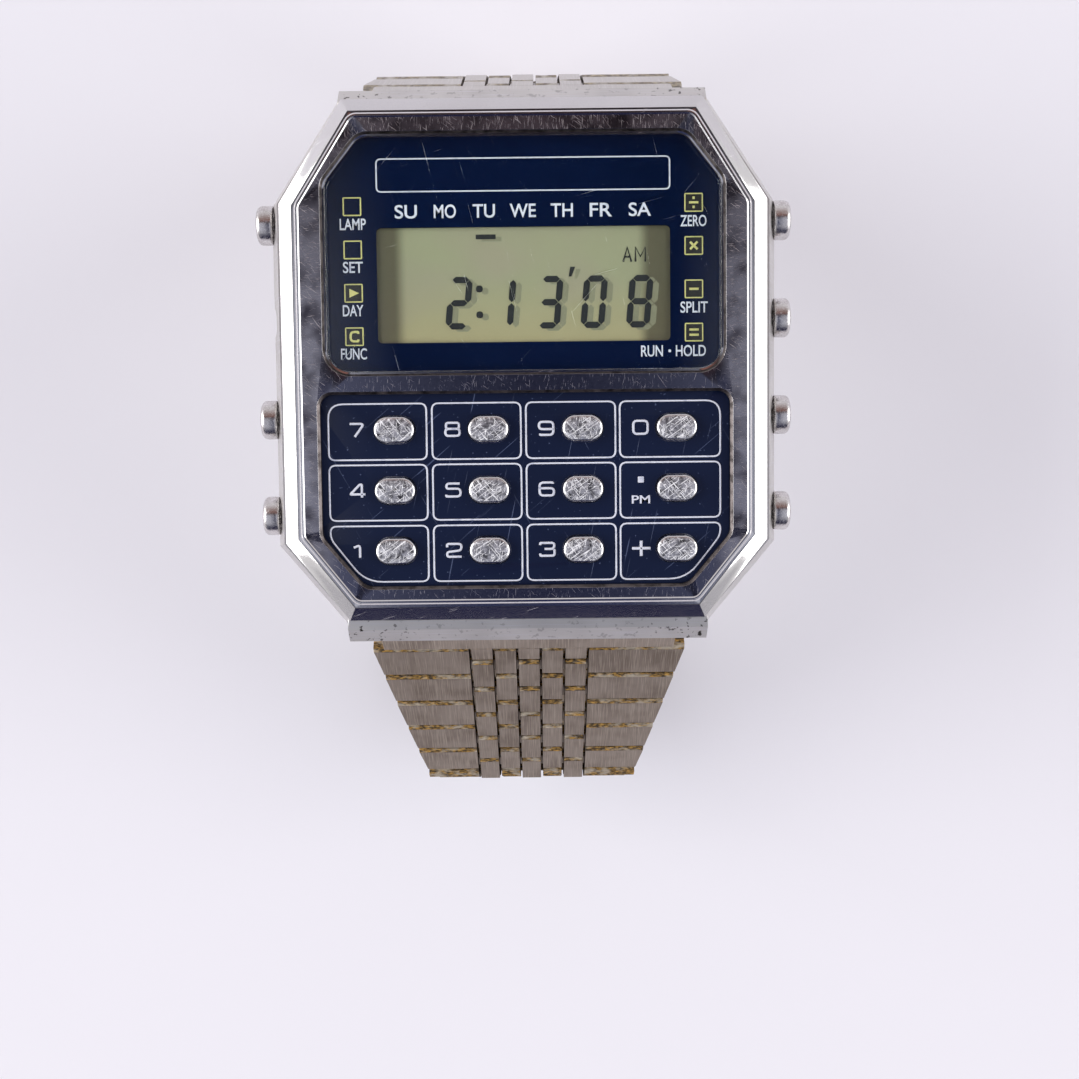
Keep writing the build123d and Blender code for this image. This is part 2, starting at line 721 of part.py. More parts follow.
def side_knuckles(angle, lift):
    """The outer two tubes of a three-tube hinge."""
    return [knuckle(angle, lift, -knuckle_side, -knuckle_side + leaf_knuckle_length),
            knuckle(angle, lift, knuckle_side - leaf_knuckle_length, knuckle_side)]


def notch(angle, lift, x0, x1):
    """Room for the other leaf's tube."""
    return knuckle(angle, lift, x0, x1, leaf_knuckle_radius + leaf_gap)


# Clasp cover: curved channel with the bracelet's spring bar at one end and the first leaf hinge at the other
cover_top = cover_lift + cover_thickness
wall_x = cover_width / 2 - cover_flange
cover = arc_plate(cover_lift, cover_top, outer_hinge, clasp_half_angle + lid_angle,
                  -cover_width / 2, cover_width / 2)
for side in (-1, 1):
    x0, x1 = sorted((side * wall_x, side * cover_width / 2))
    cover += arc_plate(-half, cover_top, outer_hinge, clasp_half_angle + end_gap_angle, x0, x1)
cover -= notch(outer_hinge, leaf_hinge_lift, -knuckle_side - leaf_gap, knuckle_side + leaf_gap)
for tube in side_knuckles(outer_hinge, leaf_hinge_lift):
    cover += tube
    x_mid = tube.center().X
    cover += arc_plate(cover_lift, cover_top, outer_hinge, outer_hinge + 2 * knuckle_angle,
                       x_mid - leaf_knuckle_length / 2, x_mid + leaf_knuckle_length / 2)
cover -= knuckle(outer_hinge, leaf_hinge_lift, -cover_width, cover_width, leaf_pin_radius)
cover_bar = on_arc(clasp_half_angle, 0) * rod(-cover_width / 2, cover_width / 2, 0, 0, bar_radius)
cover -= cover_bar
outer_pin = knuckle(outer_hinge, leaf_hinge_lift, -knuckle_side, knuckle_side, leaf_pin_radius)
save("clasp_cover", cover, cover_bar, outer_pin)

# Middle leaf, between the two leaf hinges
middle = arc_plate(middle_leaf_lift, middle_leaf_lift + leaf_thickness, outer_hinge, inner_hinge,
                   -leaf_width / 2, leaf_width / 2)
for tube in side_knuckles(outer_hinge, leaf_hinge_lift):
    x_mid = tube.center().X
    reach = leaf_knuckle_length / 2 + leaf_gap
    middle -= notch(outer_hinge, leaf_hinge_lift, x_mid - reach, x_mid + reach)
middle -= notch(inner_hinge, inner_hinge_lift, -mid_knuckle - leaf_gap, mid_knuckle + leaf_gap)
middle += knuckle(outer_hinge, leaf_hinge_lift, -mid_knuckle, mid_knuckle)
for tube in side_knuckles(inner_hinge, inner_hinge_lift):
    middle += tube
middle -= knuckle(outer_hinge, leaf_hinge_lift, -leaf_width, leaf_width, leaf_pin_radius + pin_fit)
middle -= knuckle(inner_hinge, inner_hinge_lift, -leaf_width, leaf_width, leaf_pin_radius)
inner_pin = knuckle(inner_hinge, inner_hinge_lift, -knuckle_side, knuckle_side, leaf_pin_radius)
save("clasp_middle_leaf", middle, inner_pin)

# Inner leaf, with the spring bar that meets the lower half of the bracelet
inner_leaf = arc_plate(inner_leaf_lift, inner_leaf_lift + leaf_thickness, -clasp_half_angle, inner_hinge,
                       -leaf_width / 2, leaf_width / 2)
for tube in side_knuckles(inner_hinge, inner_hinge_lift):
    x_mid = tube.center().X
    reach = leaf_knuckle_length / 2 + leaf_gap
    inner_leaf -= notch(inner_hinge, inner_hinge_lift, x_mid - reach, x_mid + reach)
inner_leaf += knuckle(inner_hinge, inner_hinge_lift, -mid_knuckle, mid_knuckle)
leaf_bar = on_arc(-clasp_half_angle, 0) * rod(-centre_width / 2, centre_width / 2, 0, 0, bar_radius)
for c in fork_columns:
    inner_leaf += on_arc(-clasp_half_angle, 0) * rod(*column_span(c), 0, 0, half)
for c in tongue_columns:
    x0, x1 = column_span(c)
    tongue_room = rod(x0 - column_gap / 2, x1 + column_gap / 2, 0, 0, half + link_fit)
    inner_leaf -= on_arc(-clasp_half_angle, 0) * tongue_room
inner_leaf -= leaf_bar
inner_leaf -= knuckle(inner_hinge, inner_hinge_lift, -leaf_width, leaf_width, leaf_pin_radius + pin_fit)
save("clasp_inner_leaf", inner_leaf, leaf_bar)

print("upper pins", [(round(y, 4), round(z, 4)) for y, z in [lug_pin] + upper_pins])
print("upper slopes", upper_slopes)
print("lower pins", [(round(y, 4), round(z, 4)) for y, z in [lug_pin] + lower_pins])
print("outer hinge", on_arc(outer_hinge, leaf_hinge_lift).position)
print("inner hinge", on_arc(inner_hinge, inner_hinge_lift).position)
print("clasp half angle", clasp_half_angle)
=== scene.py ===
"""The looks of a steel calculator watch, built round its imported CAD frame.

The frame gives the sizes and the places. Visible steel parts are copies of their nodes with rounded
edges, keys and pushers are modelled anew, and the print, the display and the glass are added.
"""

import json
import logging
import math
from collections.abc import Callable, Iterator
from contextlib import contextmanager
from dataclasses import dataclass, field
from enum import Enum

import bpy
from mathutils import Matrix, Vector

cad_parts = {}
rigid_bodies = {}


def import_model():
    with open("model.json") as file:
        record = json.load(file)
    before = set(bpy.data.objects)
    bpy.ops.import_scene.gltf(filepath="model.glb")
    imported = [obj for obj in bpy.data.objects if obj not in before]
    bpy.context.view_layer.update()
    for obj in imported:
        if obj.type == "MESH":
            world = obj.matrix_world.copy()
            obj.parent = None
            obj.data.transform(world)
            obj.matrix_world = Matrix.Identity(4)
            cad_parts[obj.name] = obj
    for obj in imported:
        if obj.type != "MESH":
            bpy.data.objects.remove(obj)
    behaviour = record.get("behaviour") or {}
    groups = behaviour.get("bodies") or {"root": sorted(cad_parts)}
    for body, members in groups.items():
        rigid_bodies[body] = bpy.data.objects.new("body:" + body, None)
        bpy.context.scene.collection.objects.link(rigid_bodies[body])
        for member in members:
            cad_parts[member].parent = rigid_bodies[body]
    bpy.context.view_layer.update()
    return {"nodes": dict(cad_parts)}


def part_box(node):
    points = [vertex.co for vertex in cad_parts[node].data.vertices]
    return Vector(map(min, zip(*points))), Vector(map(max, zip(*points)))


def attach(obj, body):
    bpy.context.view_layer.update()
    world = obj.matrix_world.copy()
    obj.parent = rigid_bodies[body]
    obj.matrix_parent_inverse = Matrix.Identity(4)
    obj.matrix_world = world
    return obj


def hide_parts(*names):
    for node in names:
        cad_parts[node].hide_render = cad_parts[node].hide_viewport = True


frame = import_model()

log = logging.getLogger("calculator_watch")

MM = 0.001
EDGE_ANGLE = 28.0
SMOOTH_ANGLE = 32.0

Piece = bpy.types.Object
Tree = bpy.types.NodeTree
Socket = bpy.types.NodeSocket
Pair = tuple[float, float]
Triple = tuple[float, float, float]
Quad = tuple[float, float, float, float]
Points = list[Pair]
Stroke = tuple[Points, bool]
FaceTest = Callable[[Vector, Vector], bool]


# Small tools of the workshop


def linear(colour: str) -> Quad:
    """Turn an sRGB hex colour into the linear colour that a shader takes.

    Args:
        colour: A colour such as "#1a2b3c".

    Returns:
        Red, green, blue and an alpha of 1.
    """
    values = [int(colour[start:start + 2], 16) / 255 for start in (1, 3, 5)]
    light = [v / 12.92 if v <= 0.04045 else ((v + 0.055) / 1.055) ** 2.4 for v in values]
    return light[0], light[1], light[2], 1.0


def pick(*pieces: Piece) -> None:
    """Select only these pieces and make the first one active.

    Args:
        pieces: The objects to select.
    """
    bpy.ops.object.select_all(action="DESELECT")
    for piece in pieces:
        piece.select_set(True)
    bpy.context.view_layer.objects.active = pieces[0]


def newest() -> Piece:
    """Return the active object, which an operator has just made."""
    return bpy.context.view_layer.objects.active


def add_object(name: str, data: bpy.types.ID) -> Piece:
    """Put a new object into the scene.

    Args:
        name: Its name.
        data: Its mesh, curve, camera or lamp.

    Returns:
        The object.
    """
    made = bpy.data.objects.new(name, data)
    bpy.context.scene.collection.objects.link(made)
    return made


@contextmanager
def editing(piece: Piece, selection: str = "") -> Iterator[None]:
    """Open a piece in edit mode for the length of a with block.

    Args:
        piece: The mesh object to edit.
        selection: SELECT for all of it, DESELECT for none, or empty to keep what is selected.
    """
    pick(piece)
    bpy.ops.object.mode_set(mode="EDIT")
    if selection:
        bpy.ops.mesh.select_all(action=selection)
    yield
    bpy.ops.object.mode_set(mode="OBJECT")


def select_faces(piece: Piece, wanted: FaceTest) -> None:
    """Select the faces of a piece by their place and normal.

    Args:
        piece: The mesh object.
        wanted: Says of a face's centre in millimetres and its normal whether it is selected.
    """
    with editing(piece, "DESELECT"):
        bpy.ops.mesh.select_mode(type="FACE")
    for face in piece.data.polygons:
        face.select = wanted(face.center / MM, face.normal)


def move_points(piece: Piece, shift: Triple, wanted: Callable[[Vector], bool]) -> None:
    """Move some points of a piece.

    Args:
        piece: The mesh object.
        shift: The move in millimetres.
        wanted: Says of a point in millimetres whether it moves.
    """
    with editing(piece, "DESELECT"):
        bpy.ops.mesh.select_mode(type="VERT")
    for vertex in piece.data.vertices:
        vertex.select = wanted(vertex.co / MM)
    with editing(piece):
        bpy.ops.transform.translate(value=Vector(shift) * MM)


def paint_faces(piece: Piece, slot: int, wanted: FaceTest) -> None:
    """Give the faces that fit a test one of the piece's material slots.

    Args:
        piece: The mesh object.
        slot: The number of the material slot.
        wanted: Says of a face's centre in millimetres and its normal whether it is painted.
    """
    for face in piece.data.polygons:
        if wanted(face.center / MM, face.normal):
            face.material_index = slot


def apply_modifier(piece: Piece, kind: str, **settings: object) -> None:
    """Add a modifier to a piece and apply it.

    Args:
        piece: The mesh object.
        kind: The modifier's type, such as "BEVEL".
        settings: The modifier's own settings.
    """
    pick(piece)
    modifier = piece.modifiers.new(kind.title(), kind)
    for key, value in settings.items():
        setattr(modifier, key, value)
    bpy.ops.object.modifier_apply(modifier=modifier.name)


def bevel(piece: Piece, width: float, segments: int = 2, angle: float = EDGE_ANGLE,
          **settings: object) -> None:
    """Bevel a piece's edges that are sharper than an angle in degrees, by a width in millimetres."""
    apply_modifier(piece, "BEVEL", limit_method="ANGLE", angle_limit=math.radians(angle), width=width * MM,
                   segments=segments, **settings)


def shade(piece: Piece, angle: float = SMOOTH_ANGLE) -> None:
    """Shade a piece smooth over edges up to an angle in degrees."""
    pick(piece)
    bpy.ops.object.shade_smooth_by_angle(angle=math.radians(angle))


def settle(piece: Piece, name: str) -> Piece:
    """Name a piece and write its place and turn into its mesh.

    Args:
        piece: The object to finish.
        name: Its name in the model.

    Returns:
        The same object.
    """
    piece.name = name
    piece.data.name = name
    pick(piece)
    bpy.ops.object.transform_apply(location=True, rotation=True, scale=True)
    return piece


def join(name: str, pieces: list[Piece]) -> Piece:
    """Join mesh objects into the first of them.

    Args:
        name: The name of the joined piece.
        pieces: The objects, two or more.

    Returns:
        The joined object.
    """
    pick(*pieces)
    bpy.ops.object.join()
    return settle(pieces[0], name)


def dress(piece: Piece, *finishes: "Finish") -> None:
    """Give a new piece or a CAD node its materials and report it.

    Args:
        piece: The mesh object.
        finishes: The finishes of its material slots, in order.
    """
    piece.data.materials.clear()
    for finish in finishes:
        piece.data.materials.append(finish.material())
    log.info(piece.name)


def put_on(piece: Piece, body: str, slot: str, *finishes: "Finish", instead_of: str = "") -> None:
    """Dress a piece and let it ride on a body.

    Args:
        piece: The finished mesh object.
        body: The body that it moves with.
        slot: The record's material slot. It is not used.
        finishes: The finishes of its material slots, in order.
        instead_of: The CAD node that it stands for, if any.
    """
    dress(piece, *finishes)
    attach(piece, body)
    if instead_of:
        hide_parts(instead_of)


def body_of(node: str) -> str:
    """Return the name of the body that a CAD node rides on."""
    return frame["nodes"][node].parent.name.removeprefix("body:")


def rounded_copy(node: str, name: str, width: float, whole_flats: bool = True) -> Piece:
    """Copy a CAD node's mesh as a clean piece with rounded edges.

    Args:
        node: The name of the CAD node.
        name: The name of the copy.
        width: The reach of the rounding in millimetres, or 0 for none.
        whole_flats: Whether each flat becomes one face, which suits flats without holes.

    Returns:
        The new object, which isn't on a body yet.
    """
    piece = add_object(name, frame["nodes"][node].data.copy())
    piece.data.name = name
    piece.data.materials.clear()
    with editing(piece, "SELECT"):
        bpy.ops.mesh.remove_doubles(threshold=0.002 * MM)
        if whole_flats:
            bpy.ops.mesh.dissolve_limited(angle_limit=math.radians(1))
    if width:
        round_edges(piece, width)
    else:
        shade(piece)
    return piece


def round_edges(piece: Piece, width: float) -> None:
    """Round a piece's sharp edges and shade it, with its flats kept flat.

    Args:
        piece: The mesh object.
        width: The width of the rounding in millimetres.
    """
    bevel(piece, width)
    shade(piece)
    apply_modifier(piece, "WEIGHTED_NORMAL", keep_sharp=True)


# Shader nodes


def set_node(node: bpy.types.Node, *values: object, **named: object) -> None:
    """Change a node's settings and feed its inputs.

    Args:
        node: The node.
        values: Values, hex colours or output sockets for its first inputs, in their order.
        named: Settings by name. A name with a capital is an input, with underscores for its spaces.
    """
    inputs = {key: value for key, value in named.items() if key[0].isupper()}
    for key, value in named.items():
        if key not in inputs:
            setattr(node, key, value)
    feeds = list(zip([socket for socket in node.inputs if socket.enabled], values))
    feeds += [(node.inputs[key.replace("_", " ")], value) for key, value in inputs.items()]
    for socket, value in feeds:
        if isinstance(value, Socket):
            node.id_data.links.new(value, socket)
        else:
            socket.default_value = linear(value) if isinstance(value, str) else value


def add_node(tree: Tree, kind: str, *values: object, out: str = "", **named: object) -> Socket:
    """Add a node with its settings, values and links.

    Args:
        tree: The node tree.
        kind: The node's type name after "ShaderNode".
        values: Values, hex colours or output sockets for its first inputs, in their order.
        out: The name of the output to return, or empty for the first one in use.
        named: Settings and inputs by name, as in set_node.

    Returns:
        The output socket.
    """
    node = tree.nodes.new(f"ShaderNode{kind}")
    set_node(node, *values, **named)
    return node.outputs[out] if out else next(socket for socket in node.outputs if socket.enabled)


def in_cells(tree: Tree, *size: float, turn: float = 0.0) -> Socket:
    """Give a piece's coordinates in cells of one or three sizes in millimetres, turned about Z."""
    sizes = size if len(size) == 3 else size * 3
    return add_node(tree, "Mapping", add_node(tree, "TexCoord", out="Object"), vector_type="TEXTURE",
                    Rotation=(0.0, 0.0, math.radians(turn)), Scale=[length * MM for length in sizes])


def mottle(tree: Tree, cells: float | Socket, low: float, high: float, detail: float = 2.0) -> Socket:
    """Give a noise, stretched so that low becomes 0 and high becomes 1.

    Args:
        tree: The node tree.
        cells: The size of a cell in millimetres, or coordinates that count cells.
        low: The noise value that becomes 0.
        high: The noise value that becomes 1.
        detail: The number of finer layers.

    Returns:
        The value output.
    """
    vector = in_cells(tree, cells) if isinstance(cells, float) else cells
    noise = add_node(tree, "TexNoise", vector, Scale=1.0, Detail=detail, Roughness=0.55)
    return add_node(tree, "MapRange", noise, low, high)


def between(vector: Socket, axis: str, start: float, end: float, mirrored: bool = False,
            **named: object) -> Socket:
    """Give a value that goes from 0 to 1 along an axis.

    Args:
        vector: The coordinates.
        axis: The name of the axis, X, Y or Z.
        start: Where the value is 0.
        end: Where it is 1.
        mirrored: Whether the distance from the middle counts.
        named: Other settings and inputs of the range.

    Returns:
        The value output.
    """
    tree = vector.id_data
    place = add_node(tree, "SeparateXYZ", vector, out=axis)
    if mirrored:
        place = add_node(tree, "Math", place, operation="ABSOLUTE")
    return add_node(tree, "MapRange", place, start, end, **named)


class Place(Enum):
    """Where on the bezel's face lines show: none at one distance from the middle, all at the other."""

    ALL = ()
    SIDES = (13.6, 15.0)
    ENDS = (15.0, 13.6)


@dataclass(frozen=True)
class Lines:
    """Scratches or brush lines that run one way, with sizes in millimetres."""

    turn: float
    length: float
    spacing: float
    start: float = 0.5
    full: float = 0.8
    place: Place = Place.ALL

    def share(self, tree: Tree) -> Socket:
        """Give 1 on the lines and 0 elsewhere.

        Args:
            tree: The node tree.

        Returns:
            The value output.
        """
        vector = in_cells(tree, self.length, self.spacing, self.length, turn=self.turn)
        share = mottle(tree, vector, self.start, self.full)
        if self.place is Place.ALL:
            return share
        reach = between(in_cells(tree, 1.0), "X", *self.place.value, mirrored=True)
        return add_node(tree, "Math", share, reach, operation="MULTIPLY")


def strongest(tree: Tree, lines: tuple[Lines, ...]) -> float | Socket:
    """Give 1 on any of several sets of lines.

    Args:
        tree: The node tree.
        lines: The sets of lines.

    Returns:
        The value output, or 0 without lines.
    """
    worn = 0.0
    for each in lines:
        worn = add_node(tree, "Math", worn, each.share(tree), operation="MAXIMUM")
    return worn


@dataclass(frozen=True)
class Finish:
    """A finish with a name. Its material is made once and shared."""

    name: str

    @property
    def tree(self) -> Tree:
        """Return the node tree of the finish's material."""
        return bpy.data.materials[self.name].node_tree

    def material(self) -> bpy.types.Material:
        """Make the finish's material at the first call.

        Returns:
            The material.
        """
        made = bpy.data.materials.get(self.name)
        if not made:
            made = bpy.data.materials.new(self.name)
            made.use_nodes = True
            self.build()
        return made

    def set(self, relief: float | Socket = 0.0, depth: float = 0.0, **values: object) -> None:
        """Set the shader's inputs.

        Args:
            relief: A height from 0 to 1 that makes the surface uneven.
            depth: The depth of a relief of 1 in millimetres.
            values: Values by the inputs' names, with underscores for spaces.
        """
        if depth:
            values["Normal"] = add_node(self.tree, "Bump", Height=relief, Distance=depth * MM)
        set_node(self.tree.nodes["Principled BSDF"], **values)

    def build(self) -> None:
        """Set the shader's values and patterns."""
        raise NotImplementedError


@dataclass(frozen=True)
class Steel(Finish):
    """Stainless steel. Its lines, stains and pits are what brushing, wear and sweat leave on it; its tint on
    chosen parts is a painted reflection.
    """

    colour: str
    roughness: float
    lines: tuple[Lines, ...] = ()
    line_colour: str = "#e2e0e0"
    line_roughness: float = 0.4
    line_metallic: float = 1.0
    line_depth: float = 0.004
    grain: float = 0.12
    grain_height: float = 0.25
    grain_roughness: float = 0.03
    stain: str = "#8d857d"
    stain_size: float = 5.0
    stain_share: float = 0.35
    pits: float = 0.0
    pit_colour: str = "#3c3733"
    reflection_tint: str = ""
    reflection_cover: float = 0.3

    def build(self) -> None:
        """Set the shader's values and patterns."""
        tree = self.tree
        stain = mottle(tree, self.stain_size, 0.42, 0.68)
        stain = add_node(tree, "Math", stain, self.stain_share, operation="MULTIPLY")
        colour = add_node(tree, "Mix", stain, self.colour, self.stain, data_type="RGBA")
        worn = strongest(tree, self.lines)
        # Painted reflection: a tint on chosen parts of the face stands for the dark blue that it mirrors
        # there.
        if self.reflection_tint:
            reflection_strips = self._reflection_place(tree)
            colour = add_node(tree, "Mix", reflection_strips, colour, self.reflection_tint, data_type="RGBA")
            fewer = add_node(tree, "Math", reflection_strips, self.reflection_cover, operation="MULTIPLY")
            worn = add_node(tree, "Math", worn, fewer, operation="SUBTRACT", use_clamp=True)
        colour = add_node(tree, "Mix", worn, colour, self.line_colour, data_type="RGBA")
        grain = mottle(tree, self.grain, 0.3, 0.75)
        rough = add_node(tree, "MapRange", grain, To_Min=self.roughness - self.grain_roughness,
                         To_Max=self.roughness + self.grain_roughness)
        rough = add_node(tree, "MapRange", worn, To_Min=rough, To_Max=self.line_roughness)
        height = add_node(tree, "Math", grain, self.grain_height, operation="MULTIPLY")
        height = add_node(tree, "Math", height, worn, operation="ADD", use_clamp=True)
        if self.pits:
            spots = mottle(tree, self.pits, 0.6, 0.64, 3.0)
            spots = add_node(tree, "Math", spots, self._near_corners(tree), operation="MULTIPLY")
            colour = add_node(tree, "Mix", spots, colour, self.pit_colour, data_type="RGBA")
            height = add_node(tree, "Math", height, spots, operation="SUBTRACT", use_clamp=True)
        self.set(height, self.line_depth, Base_Color=colour, Roughness=rough,
                 Metallic=add_node(tree, "MapRange", worn, To_Min=1.0, To_Max=self.line_metallic))

    @staticmethod
    def _reflection_place(tree: Tree) -> Socket:
        """Give 1 on the bezel's crossbar and lower strip, where a bluish reflection is painted, and 0
        elsewhere.
        """
        place = in_cells(tree, 1.0)
        return add_node(tree, "Math", between(place, "Y", 4.0, 1.0),
                        between(place, "X", *Place.ENDS.value, mirrored=True), operation="MULTIPLY")

    @staticmethod
    def _near_corners(tree: Tree) -> Socket:
        """Give more at the hoods' ends, where sweat stays, than along their middle, and 0 elsewhere."""
        place = in_cells(tree, 1.0)
        return add_node(tree, "Math", between(place, "X", 8.0, 12.5, mirrored=True, To_Min=0.3),
                        between(place, "Y", 19.0, 19.8, mirrored=True), operation="MULTIPLY")


@dataclass(frozen=True)
class SeamGrime(Finish):
    """Steel under dried dirt in the links' seams, worn to a golden brown on the ridges."""

    dirt: str = "#4f4336"
    gold: str = "#cba25a"
    bare: str = "#c9bda9"
    depth: float = 0.03

    def build(self) -> None:
        """Set the shader's values and patterns."""
        tree = self.tree
        crumbs = mottle(tree, in_cells(tree, 0.4, 0.14, 0.14), 0.42, 0.66, 3.0)
        patches = mottle(tree, in_cells(tree, 1.3, 0.6, 0.6), 0.48, 0.66, 3.0)
        colour = add_node(tree, "Mix", crumbs, self.dirt, self.gold, data_type="RGBA")
        self.set(crumbs, self.depth, Metallic=0.75,
                 Base_Color=add_node(tree, "Mix", patches, colour, self.bare, data_type="RGBA"),
                 Roughness=add_node(tree, "MapRange", patches, To_Min=0.62, To_Max=0.35))


@dataclass(frozen=True)
class Print(Finish):
    """Silk-screened lacquer: an even colour with dust and hair scratches, and a soft gloss."""

    colour: str
    scratch_colour: str = "#5d6a8c"
    scratch_share: float = 0.55
    roughness: float = 0.35
    gloss: float = 0.25
    depth: float = 0.01
    lines: tuple[Lines, ...] = (Lines(78, 7.0, 0.16, 0.71, 0.74), Lines(40, 6.0, 0.14, 0.72, 0.75),
                                Lines(-62, 6.0, 0.12, 0.73, 0.76))

    def build(self) -> None:
        """Set the shader's values and patterns."""
        tree = self.tree
        dust = mottle(tree, 0.22, 0.74, 0.77, 1.0)
        worn = add_node(tree, "Math", strongest(tree, self.lines), dust, operation="MAXIMUM")
        worn = add_node(tree, "Math", worn, self.scratch_share, operation="MULTIPLY")
        uneven = mottle(tree, in_cells(tree, 9.0, turn=20), 0.3, 0.7)
        darker = add_node(tree, "Mix", 0.16, self.colour, "#000000", data_type="RGBA")
        colour = add_node(tree, "Mix", uneven, darker, self.colour, data_type="RGBA")
        colour = add_node(tree, "Mix", worn, colour, self.scratch_colour, data_type="RGBA")
        self.set(worn, self.depth, Base_Color=colour, Roughness=self.roughness,
                 Specular_IOR_Level=self.gloss)


@dataclass(frozen=True)
class Ink(Finish):
    """Opaque printing ink, matt and very slightly uneven."""

    colour: str
    worn_colour: str
    depth: float = 0.004

    def build(self) -> None:
        """Set the shader's values and patterns."""
        thin = mottle(self.tree, 0.5, 0.55, 0.8, 3.0)
        colour = add_node(self.tree, "Mix", thin, self.colour, self.worn_colour, data_type="RGBA")
        self.set(thin, self.depth, Base_Color=colour, Roughness=0.55)


@dataclass(frozen=True)
class LiquidCrystal(Finish):
    """A reflective display cell: olive grey, browner at its left and right ends, where painted shade from
    the window's sides lies over the cell's own darker edge.
    """

    middle: str = "#989a7b"
    lower: str = "#a59d77"
    # The colour of the painted shade at the cell's ends, over its own darker edge
    edge: str = "#494331"
    tint: str = "#9b9280"
    left: float = -9.0
    right: float = 8.75
    soften: float = 0.55
    grain: float = 0.06
    depth: float = 0.002

    def build(self) -> None:
        """Set the shader's values and patterns."""
        tree = self.tree
        place = in_cells(tree, 1.0)
        low = between(place, "Y", 6.0, 1.5)
        colour = add_node(tree, "Mix", low, self.middle, self.lower, data_type="RGBA")
        clouds = mottle(tree, in_cells(tree, 6.0, 4.5, 6.0), 0.45, 0.7, 1.0)
        clouds = add_node(tree, "Math", clouds, 0.5, operation="MULTIPLY")
        colour = add_node(tree, "Mix", clouds, colour, self.tint, data_type="RGBA")
        # Painted shade at the left and right ends, over the cell's own darker edge.
        sides = [between(place, "X", x - way * self.soften, x + way * self.soften,
                         interpolation_type="SMOOTHSTEP") for x, way in ((self.left, -1), (self.right, 1))]
        dark = add_node(tree, "Math", *sides, operation="MAXIMUM")
        dark = add_node(tree, "Math", dark, 0.85, operation="MULTIPLY")
        colour = add_node(tree, "Mix", dark, colour, self.edge, data_type="RGBA")
        self.set(mottle(tree, self.grain, 0.3, 0.7), self.depth, Base_Color=colour, Roughness=0.42)


@dataclass(frozen=True)
class MineralGlass(Finish):
    """Clear mineral glass with hair scratches from years of wear."""

    colour: str = "#f4f8f6"
    depth: float = 0.006
    lines: tuple[Lines, ...] = (Lines(104, 9.0, 0.13, 0.72, 0.76), Lines(48, 11.0, 0.12, 0.73, 0.77),
                                Lines(125, 6.0, 0.1, 0.75, 0.79), Lines(15, 5.0, 0.1, 0.76, 0.8))

    def build(self) -> None:
        """Set the shader's values and patterns."""
        tree = self.tree
        worn = strongest(tree, self.lines)
        rough = add_node(tree, "MapRange", worn, To_Min=0.015, To_Max=0.3)
        self.set(worn, self.depth, Base_Color=self.colour, Roughness=rough, Transmission_Weight=1.0, IOR=1.5,
                 Specular_IOR_Level=0.3)


@dataclass(frozen=True)
class Moulded(Finish):
    """Moulded plastic or rubber with the fine grain of its mould and faint shading."""

    colour: str
    shade: str
    roughness: float = 0.5
    grain: float = 0.15
    depth: float = 0.01

    def pattern(self) -> Socket:
        """Give the share of the second colour, in soft clouds."""
        return mottle(self.tree, 4.0, 0.35, 0.65)

    def build(self) -> None:
        """Set the shader's values and patterns."""
        grain = mottle(self.tree, self.grain, 0.3, 0.7)
        colour = add_node(self.tree, "Mix", self.pattern(), self.colour, self.shade, data_type="RGBA")
        self.set(grain, self.depth, Base_Color=colour, Roughness=self.roughness)


@dataclass(frozen=True)
class Striped(Moulded):
    """Thin layers side by side: a zebra strip's carbon and silicone, or a board's copper tracks."""

    grain: float = 0.2
    depth: float = 0.006
    pitch: float = 0.5
    share: float = 0.5
    turn: float = 0.0

    def pattern(self) -> Socket:
        """Give 1 on every second layer and 0 on the others, with a soft edge."""
        layers = in_cells(self.tree, self.pitch, turn=self.turn)
        wave = add_node(self.tree, "TexWave", layers, 1.0 / math.pi, out="Fac", wave_type="BANDS",
                        bands_direction="X")
        return add_node(self.tree, "MapRange", wave, self.share - 0.05, self.share + 0.05)


@dataclass(frozen=True)
class Backdrop(Finish):
    """Matt pale card under the watch."""

    colour: str = "#eceaef"

    def build(self) -> None:
        """Set the shader's values."""
        self.set(Base_Color=self.colour, Roughness=0.9, Specular_IOR_Level=0.1)


# Finishes of the watch. Real brush lines are about 0.02 mm apart and are drawn coarser, so that they show.

# Buffed stainless steel, which mirrors the room under faint wiping marks
POLISHED = Steel("polished_steel", colour="#d6d4d4", roughness=0.13, stain_share=0.1, line_depth=0.002,
                 lines=(Lines(20, 2.5, 0.12, 0.68, 0.74),), line_roughness=0.25)
# Satin-brushed stainless steel, pale and soft, with dark pits that sweat left on the hoods
CASE = Steel("satin_case_steel", colour="#cfccc9", roughness=0.43, stain="#aaa7a5", stain_share=0.4,
             lines=(Lines(0, 5.0, 0.1),), line_colour="#d3d1d4", pits=0.5)
# Bright steel dulled by years of short scratches across each strip, patchy, with a painted bluish reflection
# on the crossbar and the lower strip
FACE = Steel("scratched_bezel_face", colour="#b4b1b7", roughness=0.2, stain="#3f3a44", stain_share=0.85,
             stain_size=2.2, reflection_tint="#75778a",
             lines=(Lines(88, 0.7, 0.045, 0.61, 0.74, Place.ENDS),
                    Lines(72, 1.8, 0.05, 0.68, 0.73, Place.ENDS),
                    Lines(2, 0.6, 0.045, 0.61, 0.75, Place.SIDES),
                    Lines(-35, 1.8, 0.05, 0.67, 0.72), Lines(125, 3.0, 0.05, 0.7, 0.74)),
             line_colour="#dcd4d2", line_roughness=0.45, line_metallic=0.85, line_depth=0.0015)
# Painted shade on the windows' walls: the steel is made dark and blotchy to stand for the shadow in them
WINDOW_WALL_SHADE = Steel("worn_window_edge", colour="#6a6362", roughness=0.42, stain="#2a2625", stain_share=0.8,
                    stain_size=0.6)
